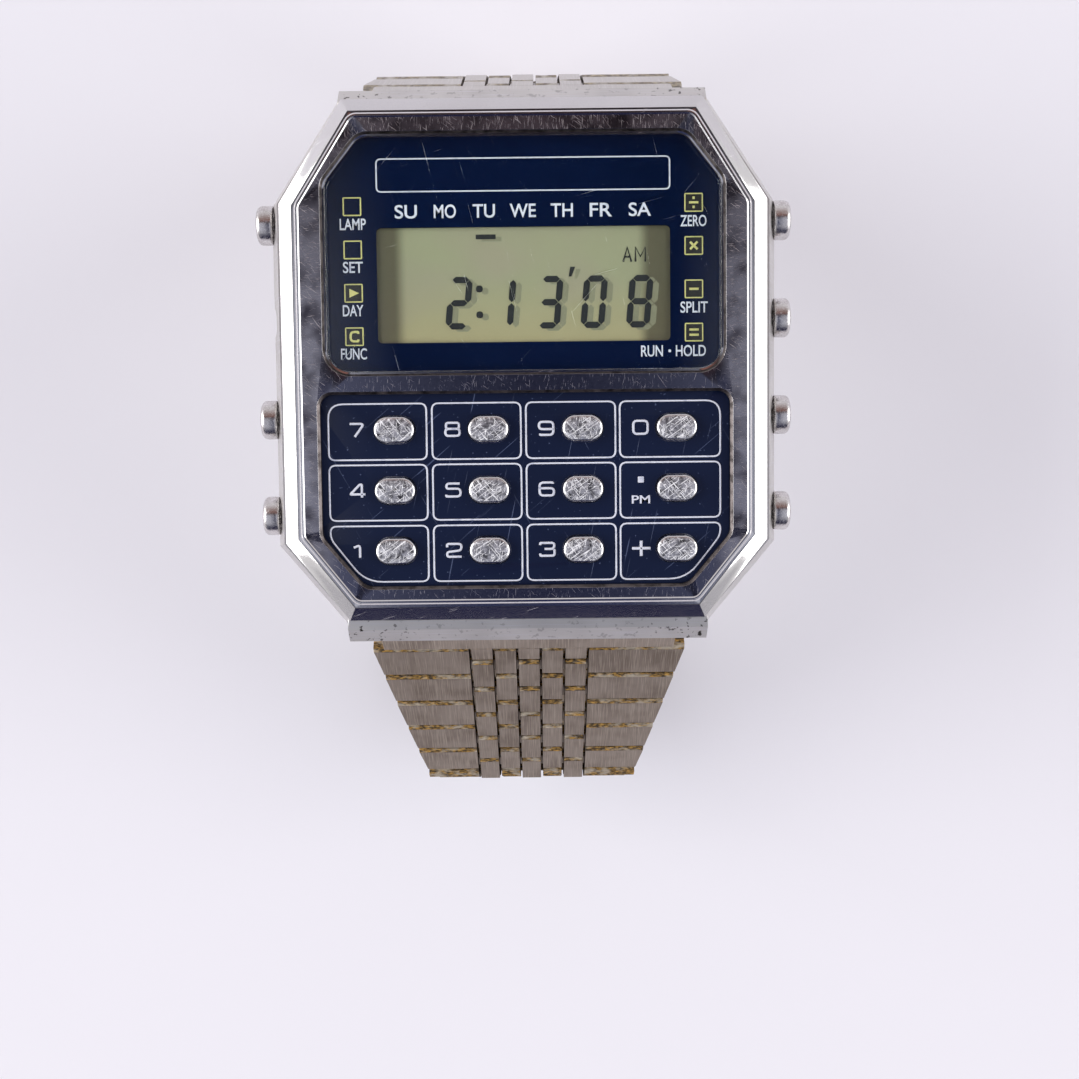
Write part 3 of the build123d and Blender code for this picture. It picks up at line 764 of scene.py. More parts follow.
# Steel that nails and pens scratched crosswise, glittering on dull patches
KEY_TOP = Steel("scratched_key_top", colour="#cfced1", roughness=0.38, stain="#38363c", stain_share=0.95,
                stain_size=0.5,
                lines=(Lines(35, 1.6, 0.06, 0.6, 0.64), Lines(-50, 1.4, 0.06, 0.62, 0.66),
                       Lines(80, 1.0, 0.06, 0.62, 0.66), Lines(5, 0.5, 0.08, 0.63, 0.67)),
                line_colour="#fbfbfc", line_roughness=0.5, line_metallic=0.15, line_depth=0.003)
# Folded steel sheet brushed along the bracelet: warm grey and streaky, with its sides between the columns
# dark and stained as painted shade
LINK = Steel("brushed_link_steel", colour="#92867a", roughness=0.42, stain="#6b5d50", stain_share=0.6,
             stain_size=2.8, lines=(Lines(90, 3.0, 0.07, 0.48, 0.75),), line_colour="#b3a798",
             line_roughness=0.5, line_depth=0.005)
DARK_SIDE_SHADE = Steel("dirty_link_side", colour="#6a5f56", roughness=0.55, stain="#3a302a", stain_share=0.8,
                  stain_size=1.2)
# The same sheet on the upper half, paler as painted light for the brighter light it catches there, with its
# sides between the columns dark as painted shade
UPPER_LINK_LIT = Steel("clean_link_steel", colour="#c3bfbb", roughness=0.4, stain="#a39f9c", stain_share=0.4,
                   lines=(Lines(90, 3.0, 0.07, 0.48, 0.75),), line_colour="#d4d1cf", line_roughness=0.48)
UPPER_SIDE_LIT_AND_SHADED = Steel("clean_link_side", colour="#aba6a2", roughness=0.5, stain="#8f8a85", stain_share=0.6)
# Dried skin dirt in the seams, brown with golden crumbs, and a paler copy of it on the upper half as painted
# light
GRIME = SeamGrime("seam_grime")
UPPER_GRIME_LIT = SeamGrime("thin_seam_grime", dirt="#918b84", gold="#c0b6a2", bare="#d0ccc7")
# Turned and pressed steel with faint tool lines, brighter and more closely lined on the pushers
PLAIN = Steel("turned_steel", colour="#c2c0be", roughness=0.28, stain_share=0.2, lines=(Lines(0, 4.0, 0.1),))
PUSHER = Steel("turned_pusher_steel", colour="#d0cccb", roughness=0.24, stain_share=0.3, stain_size=0.8,
               lines=(Lines(0, 0.15, 0.15),), line_depth=0.002)
# Nickel plate with a yellowish shine, and spring steel with straw-coloured tempering
NICKEL = Steel("nickel_plate", colour="#cfccc2", roughness=0.22, stain_share=0.15,
               lines=(Lines(35, 6.0, 0.1, 0.55),))
SPRING = Steel("spring_steel", colour="#c9c2b4", roughness=0.26, stain="#a3947a", stain_share=0.3)
# Deep blue lacquer: matt and clean behind the glass, with hair scratches and dust on the open panel
NAVY = Print("navy_display_print", colour="#0a1633", scratch_share=0.0, gloss=0.0)
NAVY_PANEL = Print("navy_key_panel", colour="#0b1734")
# Painted shade with dirt on the bevel round each key's hole, for the dark gap there
HOLE_SHADE_AND_DIRT = Moulded("dark_hole_edge", colour="#0b0c10", shade="#1a1914", roughness=0.6)
# Screen inks, flat and even
WHITE_INK = Ink("white_ink", colour="#dcdfea", worn_colour="#aab0c6")
YELLOW_INK = Ink("yellow_ink", colour="#d9d487", worn_colour="#b7b36d")
BLACK_INK = Ink("black_ink", colour="#14130f", worn_colour="#1f1e1a")
# A reflective cell, its blue-black bars, and the olive shadows that they throw on its back
CELL = LiquidCrystal("liquid_crystal_cell")
SEGMENT = Ink("dark_segment", colour="#15191b", worn_colour="#1d2324")
SEGMENT_SHADOW = Ink("segment_shadow", colour="#83836a", worn_colour="#8b8b70")
GLASS = MineralGlass("mineral_glass")
# Moulded plastic and rubber, from a slight sheen to dull, and a chip's epoxy
FRAME_PLASTIC = Moulded("movement_plastic", colour="#2b2c30", shade="#202125")
RUBBER = Moulded("black_rubber", colour="#1c1b1b", shade="#121111", roughness=0.75, grain=0.3)
MAT = Moulded("grey_contact_rubber", colour="#5f6064", shade="#4a4b4f", roughness=0.7, grain=0.3)
CHIP = Moulded("epoxy_chip", colour="#131315", shade="#1c1c1e", roughness=0.4)
# Green solder mask with paler tracks under it, and a connector of pink silicone with carbon layers
BOARD = Striped("circuit_board", colour="#1f5b3a", shade="#2d7a4d", pitch=0.8, share=0.75, turn=45)
ZEBRA = Striped("zebra_strip", colour="#d6a1a0", shade="#1d1b1c", pitch=0.35)
CARD = Backdrop("pale_card")


# Flat prints


@dataclass(frozen=True)
class Ply:
    """A layer of thin printed shapes at a height in millimetres, made as meshes."""

    height: float
    thickness: float = 0.02

    def _draw(self, strokes: list[Stroke], **settings: object) -> Piece:
        """Draw paths as a curve, make it a mesh and press that flat on the printed surface.

        Args:
            strokes: The paths.
            settings: The curve's own settings.

        Returns:
            The mesh object.
        """
        curve = bpy.data.curves.new("print", "CURVE")
        for key, value in settings.items():
            setattr(curve, key, value)
        for points, closed in strokes:
            spline = curve.splines.new("POLY")
            spline.points.add(len(points) - 1)
            for spot, (x, y) in zip(spline.points, points):
                spot.co = (x * MM, y * MM, 0.0, 1.0)
            spline.use_cyclic_u = closed
        pick(add_object("print", curve))
        bpy.ops.object.convert(target="MESH")
        piece = newest()
        tall = max(abs(corner[2]) for corner in piece.bound_box)
        piece.scale.z = self.thickness / 2 * MM / tall
        piece.location.z = (self.height + self.thickness / 2) * MM
        return settle(piece, "print")

    def lines(self, strokes: list[Stroke], width: float) -> Piece:
        """Draw lines of one width in millimetres with round ends."""
        return self._draw(strokes, dimensions="3D", bevel_depth=width / 2 * MM, bevel_resolution=1,
                          use_fill_caps=True)

    def filled(self, outlines: list[Points]) -> Piece:
        """Fill closed outlines, given in millimetres."""
        return self._draw([(points, True) for points in outlines], dimensions="2D", fill_mode="BOTH",
                          extrude=self.thickness / 2 * MM)

    def word(self, text: str, x: float, y: float, cap_height: float, width: float) -> Piece:
        """Set a word in capitals, pressed or spread to a width, with sizes in millimetres.

        Args:
            text: The word.
            x: The word's middle.
            y: The word's middle.
            cap_height: The height of a capital.
            width: The width of the whole word.

        Returns:
            The mesh object.
        """
        bpy.ops.object.text_add()
        lettering = newest().data
        lettering.body = text
        lettering.extrude = 0.01
        lettering.offset = 0.012
        pick(newest())
        bpy.ops.object.convert(target="MESH")
        piece = newest()
        corners = [Vector(corner) for corner in piece.bound_box]
        low = Vector(map(min, zip(*corners)))
        high = Vector(map(max, zip(*corners)))
        size = high - low
        piece.data.transform(Matrix.Translation(-(low + high) / 2))
        piece.scale = (width * MM / size.x, cap_height * MM / size.y, self.thickness * MM / size.z)
        piece.location = (x * MM, y * MM, (self.height + self.thickness / 2) * MM)
        return settle(piece, "word")


def rounded_path(points: Points, radius: float | list[float], closed: bool) -> Points:
    """Round the corners of a path.

    Args:
        points: The corners.
        radius: The rounding's reach along the shorter run, one for all or one for each corner.
        closed: Whether the path goes back to its start.

    Returns:
        The points of the rounded path.
    """
    count = len(points)
    reaches = radius if isinstance(radius, list) else [radius] * count
    steps = 6
    path = []
    for index, here in enumerate(points):
        if not closed and index in (0, count - 1):
            path.append(here)
            continue
        corner = Vector(here)
        before = Vector(points[index - 1])
        after = Vector(points[(index + 1) % count])
        reach = min(reaches[index], (before - corner).length / 2, (after - corner).length / 2)
        start = corner + (before - corner).normalized() * reach
        end = corner + (after - corner).normalized() * reach
        for part in (step / steps for step in range(steps + 1)):
            spot = start * (1 - part) ** 2 + corner * 2 * part * (1 - part) + end * part ** 2
            path.append((spot.x, spot.y))
    return path


def box_path(x0: float, y0: float, x1: float, y1: float, radius: float) -> Points:
    """Give the outline of a rounded rectangle from its lower left and upper right corners."""
    return rounded_path([(x0, y0), (x1, y0), (x1, y1), (x0, y1)], radius, True)


def square_path(x: float, y: float, half: float, radius: float) -> Points:
    """Give the outline of a rounded square round a point, from half its side."""
    return box_path(x - half, y - half, x + half, y + half, radius)


# Strokes of the key digits on a field one wide and one high: the corners and whether the path is closed
DIGIT_STROKES = {
    "0": [([(0, 0), (1, 0), (1, 1), (0, 1)], True)],
    "1": [([(0.12, 0.78), (0.55, 1), (0.55, 0)], False)],
    "2": [([(0, 0.74), (0, 1), (1, 1), (1, 0.5), (0, 0.36), (0, 0), (1, 0)], False)],
    "3": [([(0, 0.84), (0, 1), (1, 1), (0.96, 0.53), (0.3, 0.53)], False),
          ([(0.97, 0.5), (1, 0.42), (1, 0), (0, 0), (0, 0.18)], False)],
    "4": [([(0.76, 0), (0.76, 1), (0.62, 1), (0, 0.3), (0, 0.24), (1, 0.24)], False)],
    "5": [([(0.94, 1), (0.04, 1), (0, 0.6), (1, 0.6), (1, 0), (0, 0), (0, 0.14)], False)],
    "6": [([(0.92, 0.9), (0.92, 1), (0, 1), (0, 0), (1, 0), (1, 0.56), (0, 0.56)], False)],
    "7": [([(0, 1), (1, 1), (0.34, 0)], False)],
    "8": [([(0, 0), (1, 0), (1, 0.54), (0, 0.54)], True),
          ([(0.14, 0.54), (0.05, 0.62), (0.05, 1), (0.95, 1), (0.95, 0.62), (0.86, 0.54)], False)],
    "9": [([(0.08, 0.1), (0.08, 0), (1, 0), (1, 1), (0, 1), (0, 0.44), (1, 0.44)], False)],
}

# Open strokes of the signs C, divide, times, minus and equals, in millimetres from the sign's middle
SIGN_STROKES = (
    [[(0.28, 0.2), (0.28, 0.34), (-0.28, 0.34), (-0.28, -0.34), (0.28, -0.34), (0.28, -0.2)]],
    [[(-0.34, 0), (0.34, 0)], [(0, 0.24), (0, 0.42)], [(0, -0.42), (0, -0.24)]],
    [[(-0.27, -0.27), (0.27, 0.27)], [(-0.27, 0.27), (0.27, -0.27)]],
    [[(-0.34, 0), (0.34, 0)]],
    [[(-0.34, 0.19), (0.34, 0.19)], [(-0.34, -0.19), (0.34, -0.19)]],
)

# Open strokes of the display's AM flag: the left edge, then corners on a field one wide and high
FLAG_STROKES = ((7.3, [(0, 0), (0.5, 1), (1, 0)]), (7.3, [(0.2, 0.34), (0.8, 0.34)]),
                (8.2, [(0, 0), (0, 1), (0.6, 0.35), (1.2, 1), (1.2, 0)]))

# Lit bars of a display digit, from A to G: top, upper left and right, middle, lower left and right, bottom
LIT_BARS = {"0": "ABCEFG", "1": "CF", "2": "ACDEG", "3": "ACDFG", "8": "ABCDEFG"}


@dataclass
class CameraAndLight:
    """The photograph's view, a pale floor, a room that is dark overhead, and two soft lamps."""

    photo_pixels: float = 1079.0
    focal_pixels: float = 1377.3
    sensor: float = 36.0
    distance: float = 100.0
    shift_right: float = 0.95
    shift_up: float = 13.06
    tilt: float = 3.92
    roll: float = 0.635
    target_height: float = 9.0
    floor_height: float = -32.0
    floor_size: float = 6000.0
    lamp_size: float = 2080.0
    left_lamp: Triple = (-2080.0, 160.0, 960.0)
    right_lamp: Triple = (2240.0, -80.0, 880.0)
    left_watts: float = 51.2
    right_watts: float = 44.8
    overhead: tuple[tuple[float, str], ...] = ((0.14, "#2c3256"), (0.95, "#937873"), (0.34, "#12162a"),
                                              (0.5, "#0c0f1c"), (0.66, "#5a4545"), (0.78, "#9a6a60"))
    beside: str = "#cdd0de"
    around: str = "#f6f5f7"
    near_end: str = "#232444"
    far_end: str = "#efedf2"
    seen: str = "#ebe9ef"
    # The directions between which one side of the room changes into the next.
    far_y: Pair = (-0.1, 0.5)
    end_y: Pair = (0.45, 0.85)
    beside_x: Pair = (0.1, 0.17)
    beside_y: Pair = (0.24, 0.1)
    overhead_z: Pair = (0.3, 0.85)

    def build(self) -> None:
        """Make the camera, the floor, the world and the lamps."""
        self._camera()
        bpy.ops.mesh.primitive_plane_add(size=self.floor_size * MM,
                                         location=(0.0, 0.0, self.floor_height * MM))
        floor = settle(newest(), "floor")
        dress(floor, CARD)
        self._world()
        self._lamp("left_softbox", self.left_lamp, self.left_watts)
        self._lamp("right_softbox", self.right_lamp, self.right_watts)
        bpy.context.scene.view_settings.view_transform = "Standard"

    def _camera(self) -> None:
        """Place the camera as it was fitted to points of the photograph."""
        data = bpy.data.cameras.new("camera")
        data.sensor_width = self.sensor
        data.lens = self.focal_pixels / self.photo_pixels * self.sensor
        data.clip_start = 0.005
        data.clip_end = 20.0
        camera = add_object("camera", data)
        tilt = math.radians(self.tilt)
        roll = math.radians(self.roll)
        right = Vector((1.0, 0.0, 0.0))
        up = Vector((0.0, math.cos(tilt), -math.sin(tilt)))
        back = Vector((0.0, math.sin(tilt), math.cos(tilt)))
        place = Vector((0.0, 0.0, self.target_height)) + right * self.shift_right - up * self.shift_up
        across = right * math.cos(roll) - up * math.sin(roll)
        upward = right * math.sin(roll) + up * math.cos(roll)
        turned = Matrix((across, upward, back)).transposed().to_4x4()
        camera.matrix_world = Matrix.Translation((place + back * self.distance) * MM) @ turned
        bpy.context.scene.camera = camera

    def _world(self) -> None:
        """Light the room by direction: pale to the left and right, darker at the near end and overhead."""
        world = bpy.data.worlds.new("room")
        bpy.context.scene.world = world
        world.use_nodes = True
        tree = world.node_tree
        way = add_node(tree, "TexCoord", out="Generated")
        far_up = between(way, "Y", *self.far_y)
        ends = add_node(tree, "Mix", far_up, self.near_end, self.far_end, data_type="RGBA")
        far_off = between(way, "Y", *self.end_y, mirrored=True)
        around = add_node(tree, "Mix", far_off, self.around, ends, data_type="RGBA")
        overhead = add_node(tree, "ValToRGB", far_up)
        stops = overhead.node.color_ramp.elements
        for step, (place, colour) in enumerate(self.overhead):
            stop = stops[step] if step < 2 else stops.new(place)
            stop.position = place
            stop.color = linear(colour)
        beside = add_node(tree, "Math", between(way, "X", *self.beside_x, mirrored=True),
                          between(way, "Y", *self.beside_y), operation="MULTIPLY")
        overhead = add_node(tree, "Mix", beside, overhead, self.beside, data_type="RGBA")
        above = between(way, "Z", *self.overhead_z)
        colour = add_node(tree, "Mix", above, around, overhead, data_type="RGBA")
        seen = add_node(tree, "LightPath", out="Is Camera Ray")
        colour = add_node(tree, "Mix", seen, colour, self.seen, data_type="RGBA")
        set_node(tree.nodes["Background"], Color=colour, Strength=1.0)

    def _lamp(self, name: str, place: Triple, watts: float) -> None:
        """Hang a square soft lamp that looks at the watch.

        Args:
            name: The lamp's name.
            place: Where it hangs, in millimetres.
            watts: Its power.
        """
        data = bpy.data.lights.new(name, "AREA")
        data.shape = "SQUARE"
        data.size = self.lamp_size * MM
        data.energy = watts
        spot = Vector(place) * MM
        turned = spot.to_track_quat("Z", "Y").to_matrix().to_4x4()
        add_object(name, data).matrix_world = Matrix.Translation(spot) @ turned


@dataclass
class CaseShell:
    """Case middle, bezel and case back."""

    face_height: float = 8.92
    glass_middle: float = 7.7
    panel_middle: float = -9.4
    crossbar_y: float = -1.5
    edge: float = 0.05
    bezel_edge: float = 0.06
    # How level a face on top is, and how far from that height, and how steep and low a window's wall.
    level: float = 0.98
    slack: float = 0.02
    steep: float = 0.97
    brim: float = 0.005

    def build(self) -> None:
        """Round the steel parts' edges and dress them."""
        middle = rounded_copy("case_middle", "case_middle_satin", self.edge, whole_flats=False)
        # Its second slot is the dark steel of the painted shade.
        put_on(middle, "case", "case_steel", CASE, DARK_SIDE_SHADE, instead_of="case_middle")
        bezel = rounded_copy("bezel", "bezel_polished", self.bezel_edge, whole_flats=False)
        put_on(bezel, "case", "bezel_steel", POLISHED, FACE, WINDOW_WALL_SHADE, instead_of="bezel")
        # The windows' walls take the painted shade.
        paint_faces(bezel, 2, self._in_window)
        paint_faces(bezel, 1, self._on_face)
        back = rounded_copy("case_back", "case_back_brushed", self.edge, whole_flats=False)
        put_on(back, "case", "case_steel", PLAIN, instead_of="case_back")

    def _on_face(self, centre: Vector, normal: Vector) -> bool:
        """Say whether a face belongs to the bezel's flat face.

        Args:
            centre: The face's centre in millimetres.
            normal: Its normal.

        Returns:
            True for a face that looks up at the flat face's height.
        """
        return normal.z > self.level and abs(centre.z - self.face_height) < self.slack

    def _in_window(self, centre: Vector, normal: Vector) -> bool:
        """Say whether a face belongs to the wall of one of the bezel's two windows.

        Args:
            centre: The face's centre in millimetres.
            normal: Its normal.

        Returns:
            True for a face that looks towards a window's middle, from just under the bezel's face.
        """
        middle = self.glass_middle if centre.y > self.crossbar_y else self.panel_middle
        inward = normal.x * centre.x + normal.y * (centre.y - middle)
        return inward < 0 and normal.z < self.steep and centre.z < self.face_height - self.brim


@dataclass
class Display:
    """The print behind the glass, the liquid-crystal cell, what it shows, and the glass itself."""

    print_height: float = 7.6
    patch_height: float = 7.594
    sign_height: float = 7.608
    shadow_height: float = 7.338
    bar_height: float = 7.36
    glass_under: float = 7.8
    glass_gap: float = 0.09
    glass_edge: float = 0.12
    weekdays: tuple[str, ...] = ("SU", "MO", "TU", "WE", "TH", "FR", "SA")
    weekday_start: float = -8.52
    weekday_step: float = 2.84
    weekday_y: float = 10.86
    weekday_height: float = 0.98
    weekday_width: float = 1.62
    widest_weekday: float = 1.9
    mark_x: float = 12.44
    mark_left: tuple[float, ...] = (11.27, 8.16, 5.03, 1.88)
    mark_right: tuple[float, ...] = (11.31, 8.21, 5.08, 1.94)
    mark_size: Pair = (0.63, 0.06)
    patch_size: Pair = (0.63, 0.05)
    frame_box: tuple[float, ...] = (-10.63, 12.3, 10.7, 14.65, 0.35)
    line: float = 0.11
    mark_line: float = 0.1
    sign_line: float = 0.17
    sign_corner: float = 0.28
    arrow: tuple[Pair, ...] = ((-0.3, -0.32), (0.4, 0.0), (-0.3, 0.32))
    label_height: float = 0.82
    dot: Quad = (10.65, 0.6, 0.1, 0.09)
    digits: tuple[tuple[str, float], ...] = (("2", -4.93), ("1", -1.72), ("3", 1.72), ("0", 4.98),
                                             ("8", 8.32))
    digit_y: float = 2.34
    digit_width: float = 1.75
    digit_height: float = 3.82
    bar_width: float = 0.46
    bar_gap: float = 0.03
    slant: float = 0.09
    colon: Triple = (-3.25, 3.39, 5.27)
    colon_size: Pair = (0.25, 0.24)
    day_mark: tuple[float, ...] = (-3.47, 8.86, -2.01, 9.2, 0.04)
    tick: tuple[Pair, ...] = ((3.3, 6.1), (3.5, 6.1), (3.78, 6.8), (3.42, 6.8))
    flag_y: float = 7.12
    flag_size: Pair = (0.6, 1.05)
    flag_line: float = 0.14
    shadow: Pair = (0.42, -0.16)
    labels: dict[str, Triple] = field(default_factory=lambda: {
        "LAMP": (-12.4, 10.0, 1.9), "SET": (-12.45, 6.9, 1.45), "DAY": (-12.5, 3.77, 1.5),
        "FUNC": (-12.5, 0.62, 1.9), "ZERO": (12.42, 10.0, 1.9), "SPLIT": (12.45, 3.76, 2.0),
        "RUN": (9.35, 0.6, 1.6), "HOLD": (12.2, 0.6, 2.2)})

    def build(self) -> None:
        """Print the mask, show a time on the cell and lay the glass over both."""
        self._print()
        self._show_time()
        glass = rounded_copy("display_glass", "watch_glass", self.glass_edge)
        move_points(glass, (0.0, 0.0, self.glass_gap), lambda point: point.z < self.glass_under)
        put_on(glass, "case", "display_glass", GLASS, instead_of="display_glass")
        glass.visible_shadow = False

    def _print(self) -> None:
        """Print the frame, the weekdays, the marks beside the pushers and their labels."""
        dress(frame["nodes"]["display_mask"], NAVY)
        ink = Ply(self.print_height)
        words = [ink.lines([(box_path(*self.frame_box), True)], self.line)]
        words += [ink.word(day, self.weekday_start + index * self.weekday_step, self.weekday_y,
                           self.weekday_height, self.widest_weekday if "W" in day else self.weekday_width)
                  for index, day in enumerate(self.weekdays)]
        words += [ink.word(text, x, y, self.label_height, width)
                  for text, (x, y, width) in self.labels.items()]
        words.append(ink.filled([square_path(*self.dot)]))
        put_on(join("display_words", words), "case", "display_print", WHITE_INK)
        marks = [(-self.mark_x, y) for y in self.mark_left] + [(self.mark_x, y) for y in self.mark_right]
        frames = [(square_path(*mark, *self.mark_size), True) for mark in marks]
        signs = [ink.lines(frames, self.mark_line)]
        patches = [Ply(self.patch_height).filled([square_path(*mark, *self.patch_size)])
                   for mark in marks[2:]]
        put_on(join("mark_patches", patches), "case", "display_print", BLACK_INK)
        bold = Ply(self.sign_height)
        strokes = [(rounded_path([(x + a, y + b) for a, b in path], self.sign_corner, False), False)
                   for (x, y), paths in zip(marks[3:], SIGN_STROKES) for path in paths]
        x, y = marks[2]
        signs.append(bold.lines(strokes, self.sign_line))
        signs.append(bold.filled([[(x + a, y + b) for a, b in self.arrow]]))
        put_on(join("mark_signs", signs), "case", "display_print", YELLOW_INK)

    def _bars(self, digit: str, x: float) -> list[Points]:
        """Give the outlines of a display digit's lit bars.

        Args:
            digit: The digit.
            x: The middle of its foot in millimetres.

        Returns:
            One outline for each lit bar.
        """
        wide = self.digit_width / 2
        tall = self.digit_height
        half = self.bar_width / 2
        gap = self.bar_gap
        across = wide - half - gap
        middle = tall / 2
        level = [(-across, 0), (-across + half, half), (across - half, half), (across, 0),
                 (across - half, -half), (-across + half, -half)]
        length = middle - 2 * gap - half
        upright = [(0, 0), (half, half), (half, length - half), (0, length),
                   (-half, length - half), (-half, half)]
        places = {
            "A": (level, 0, tall - half), "D": (level, 0, middle), "G": (level, 0, half),
            "B": (upright, -wide + half, middle + gap), "C": (upright, wide - half, middle + gap),
            "E": (upright, -wide + half, half + gap), "F": (upright, wide - half, half + gap)}
        outlines = []
        for bar in LIT_BARS[digit]:
            shape, dx, dy = places[bar]
            outlines.append([(x + a + dx + (b + dy) * self.slant, self.digit_y + b + dy) for a, b in shape])
        return outlines

    def _show_time(self) -> None:
        """Show a time on the cell, each bar with the faint shadow that it throws through the cell."""
        dress(frame["nodes"]["lcd_panel"], CELL)
        bars = [bar for digit, x in self.digits for bar in self._bars(digit, x)]
        colon_x, *colon_ys = self.colon
        bars += [square_path(colon_x, y, *self.colon_size) for y in colon_ys]
        bars += [box_path(*self.day_mark), list(self.tick)]
        sharp = Ply(self.bar_height)
        wide, tall = self.flag_size
        flag = [([(left + a * wide, self.flag_y + b * tall) for a, b in points], False)
                for left, points in FLAG_STROKES]
        lit = join("lit_bars", [sharp.filled(bars), sharp.lines(flag, self.flag_line)])
        put_on(lit, "case", "lcd", SEGMENT)
        dx, dy = self.shadow
        moved = Ply(self.shadow_height).filled([[(x + dx, y + dy) for x, y in bar] for bar in bars])
        put_on(settle(moved, "bar_shadows"), "case", "lcd", SEGMENT_SHADOW)


@dataclass
class Keyboard:
    """The printed key panel and the twelve oval keys."""

    panel_height: float = 8.3
    hole_edge: float = 0.09
    first_y: float = -4.97
    pitch_y: float = 4.45
    names: tuple[str, ...] = ("7", "8", "9", "0", "4", "5", "6", "point", "1", "2", "3", "plus")
    key_width: float = 3.0
    key_length: float = 1.98
    cap_low: float = 7.75
    cap_high: float = 9.02
    flange: Triple = (4.1, 3.08, 0.45)
    stem: Triple = (1.4, 1.0, 0.35)
    block_edge: float = 0.08
    rim: float = 0.24
    dome: float = 0.03
    dome_steps: tuple[float, ...] = (0.1, 0.2, 0.25)
    cell_x: tuple[Pair, ...] = ((-14.45, -7.25), (-6.84, -0.33), (0.05, 6.6), (6.93, 14.3))
    cell_y: tuple[Pair, ...] = ((-7.15, -3.05), (-11.61, -7.53), (-16.15, -12.02))
    cell_corner: float = 0.5
    panel_corner: float = 1.1
    cut: Pair = (2.5, 3.2)
    cut_corners: Triple = (1.3, 1.5, 0.7)
    line: float = 0.13
    digit_line: float = 0.18
    plus_line: float = 0.22
    plus_reach: Pair = (0.68, 0.56)
    point: Triple = (0.62, 0.22, 0.03)
    half_day: Triple = (-0.84, 0.6, 1.35)
    legend_x: tuple[float, ...] = (-12.35, -5.34, 1.53, 8.45)
    legend_size: Pair = (1.06, 0.95)
    legend_corner: float = 0.3
    # How level a cap's top is, alone and with its rounded rim, and how far each reaches down.
    flat: float = 0.99
    level: float = 0.9
    brim: float = 0.05
    worn_depth: float = 0.1

    def build(self) -> None:
        """Build the panel, its print and the keys."""
        panel = rounded_copy("key_panel", "key_panel_printed", 0.0, whole_flats=False)
        put_on(panel, "case", "panel_print", NAVY_PANEL, HOLE_SHADE_AND_DIRT, instead_of="key_panel")
        # The bevels round the holes take the painted shade.
        bevel(panel, self.hole_edge, angle=40, material=1)
        self._print()
        pattern = self._key()
        for name in self.names:
            low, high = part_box(f"key_{name}")
            key = pattern.copy()
            key.data = pattern.data.copy()
            bpy.context.scene.collection.objects.link(key)
            key.location = ((low.x + high.x) / 2, (low.y + high.y) / 2, 0.0)
            settle(key, f"key_{name}_cap")
            put_on(key, f"key_{name}_body", "key_steel", POLISHED, KEY_TOP, instead_of=f"key_{name}")
            paint_faces(key, 1, lambda centre, normal: (normal.z > self.level
                                                        and centre.z > self.cap_high - self.worn_depth))
        bpy.data.objects.remove(pattern)

    def _cell(self, row: int, column: int) -> Stroke:
        """Give the line round one key, rounded or cut off where the panel's own corners are.

        Args:
            row: The key's row, from the top.
            column: Its column, from the left.

        Returns:
            The closed path.
        """
        x0, x1 = self.cell_x[column]
        y0, y1 = self.cell_y[row]
        wide, high = self.cut
        lower, upper, above = self.cut_corners
        corners = [(x0, y0), (x1, y0), (x1, y1), (x0, y1)]
        reaches = [self.cell_corner] * 4
        if row == 0 and column in (0, 3):
            reaches[3 if column == 0 else 2] = self.panel_corner
        if row == 2 and column == 0:
            corners[0] = (x0 + wide, y0)
            corners.append((x0, y0 + high))
            reaches = [lower, *reaches[:2], above, upper]
        if row == 2 and column == 3:
            corners[1:2] = [(x1 - wide, y0), (x1, y0 + high)]
            reaches = [*reaches[:1], lower, upper, above, *reaches[:1]]
        return rounded_path(corners, reaches, True), True

    def _print(self) -> None:
        """Print a rounded cell round each key and its digit or sign."""
        ink = Ply(self.panel_height)
        cells = ink.lines([self._cell(row, column) for row in range(3) for column in range(4)], self.line)
        legends = []
        wide, tall = self.legend_size
        for index, name in enumerate(self.names):
            x = self.legend_x[index % 4]
            y = self.first_y - index // 4 * self.pitch_y
            for corners, closed in DIGIT_STROKES.get(name, []):
                shape = [(x + (a - 0.5) * wide, y + (b - 0.5) * tall) for a, b in corners]
                legends.append((rounded_path(shape, self.legend_corner, closed), closed))
        x = self.legend_x[3]
        y = self.first_y - 2 * self.pitch_y
        wide, tall = self.plus_reach
        plus = [([(x - wide, y), (x + wide, y)], False), ([(x, y - tall), (x, y + tall)], False)]
        y = self.first_y - self.pitch_y
        up, *point = self.point
        point = ink.filled([square_path(x, y + up, *point)])
        up, *size = self.half_day
        half_day = ink.word("PM", x, y + up, *size)
        words = [cells, ink.lines(legends, self.digit_line), ink.lines(plus, self.plus_line), point,
                 half_day]
        put_on(join("panel_legends", words), "case", "panel_print", WHITE_INK)

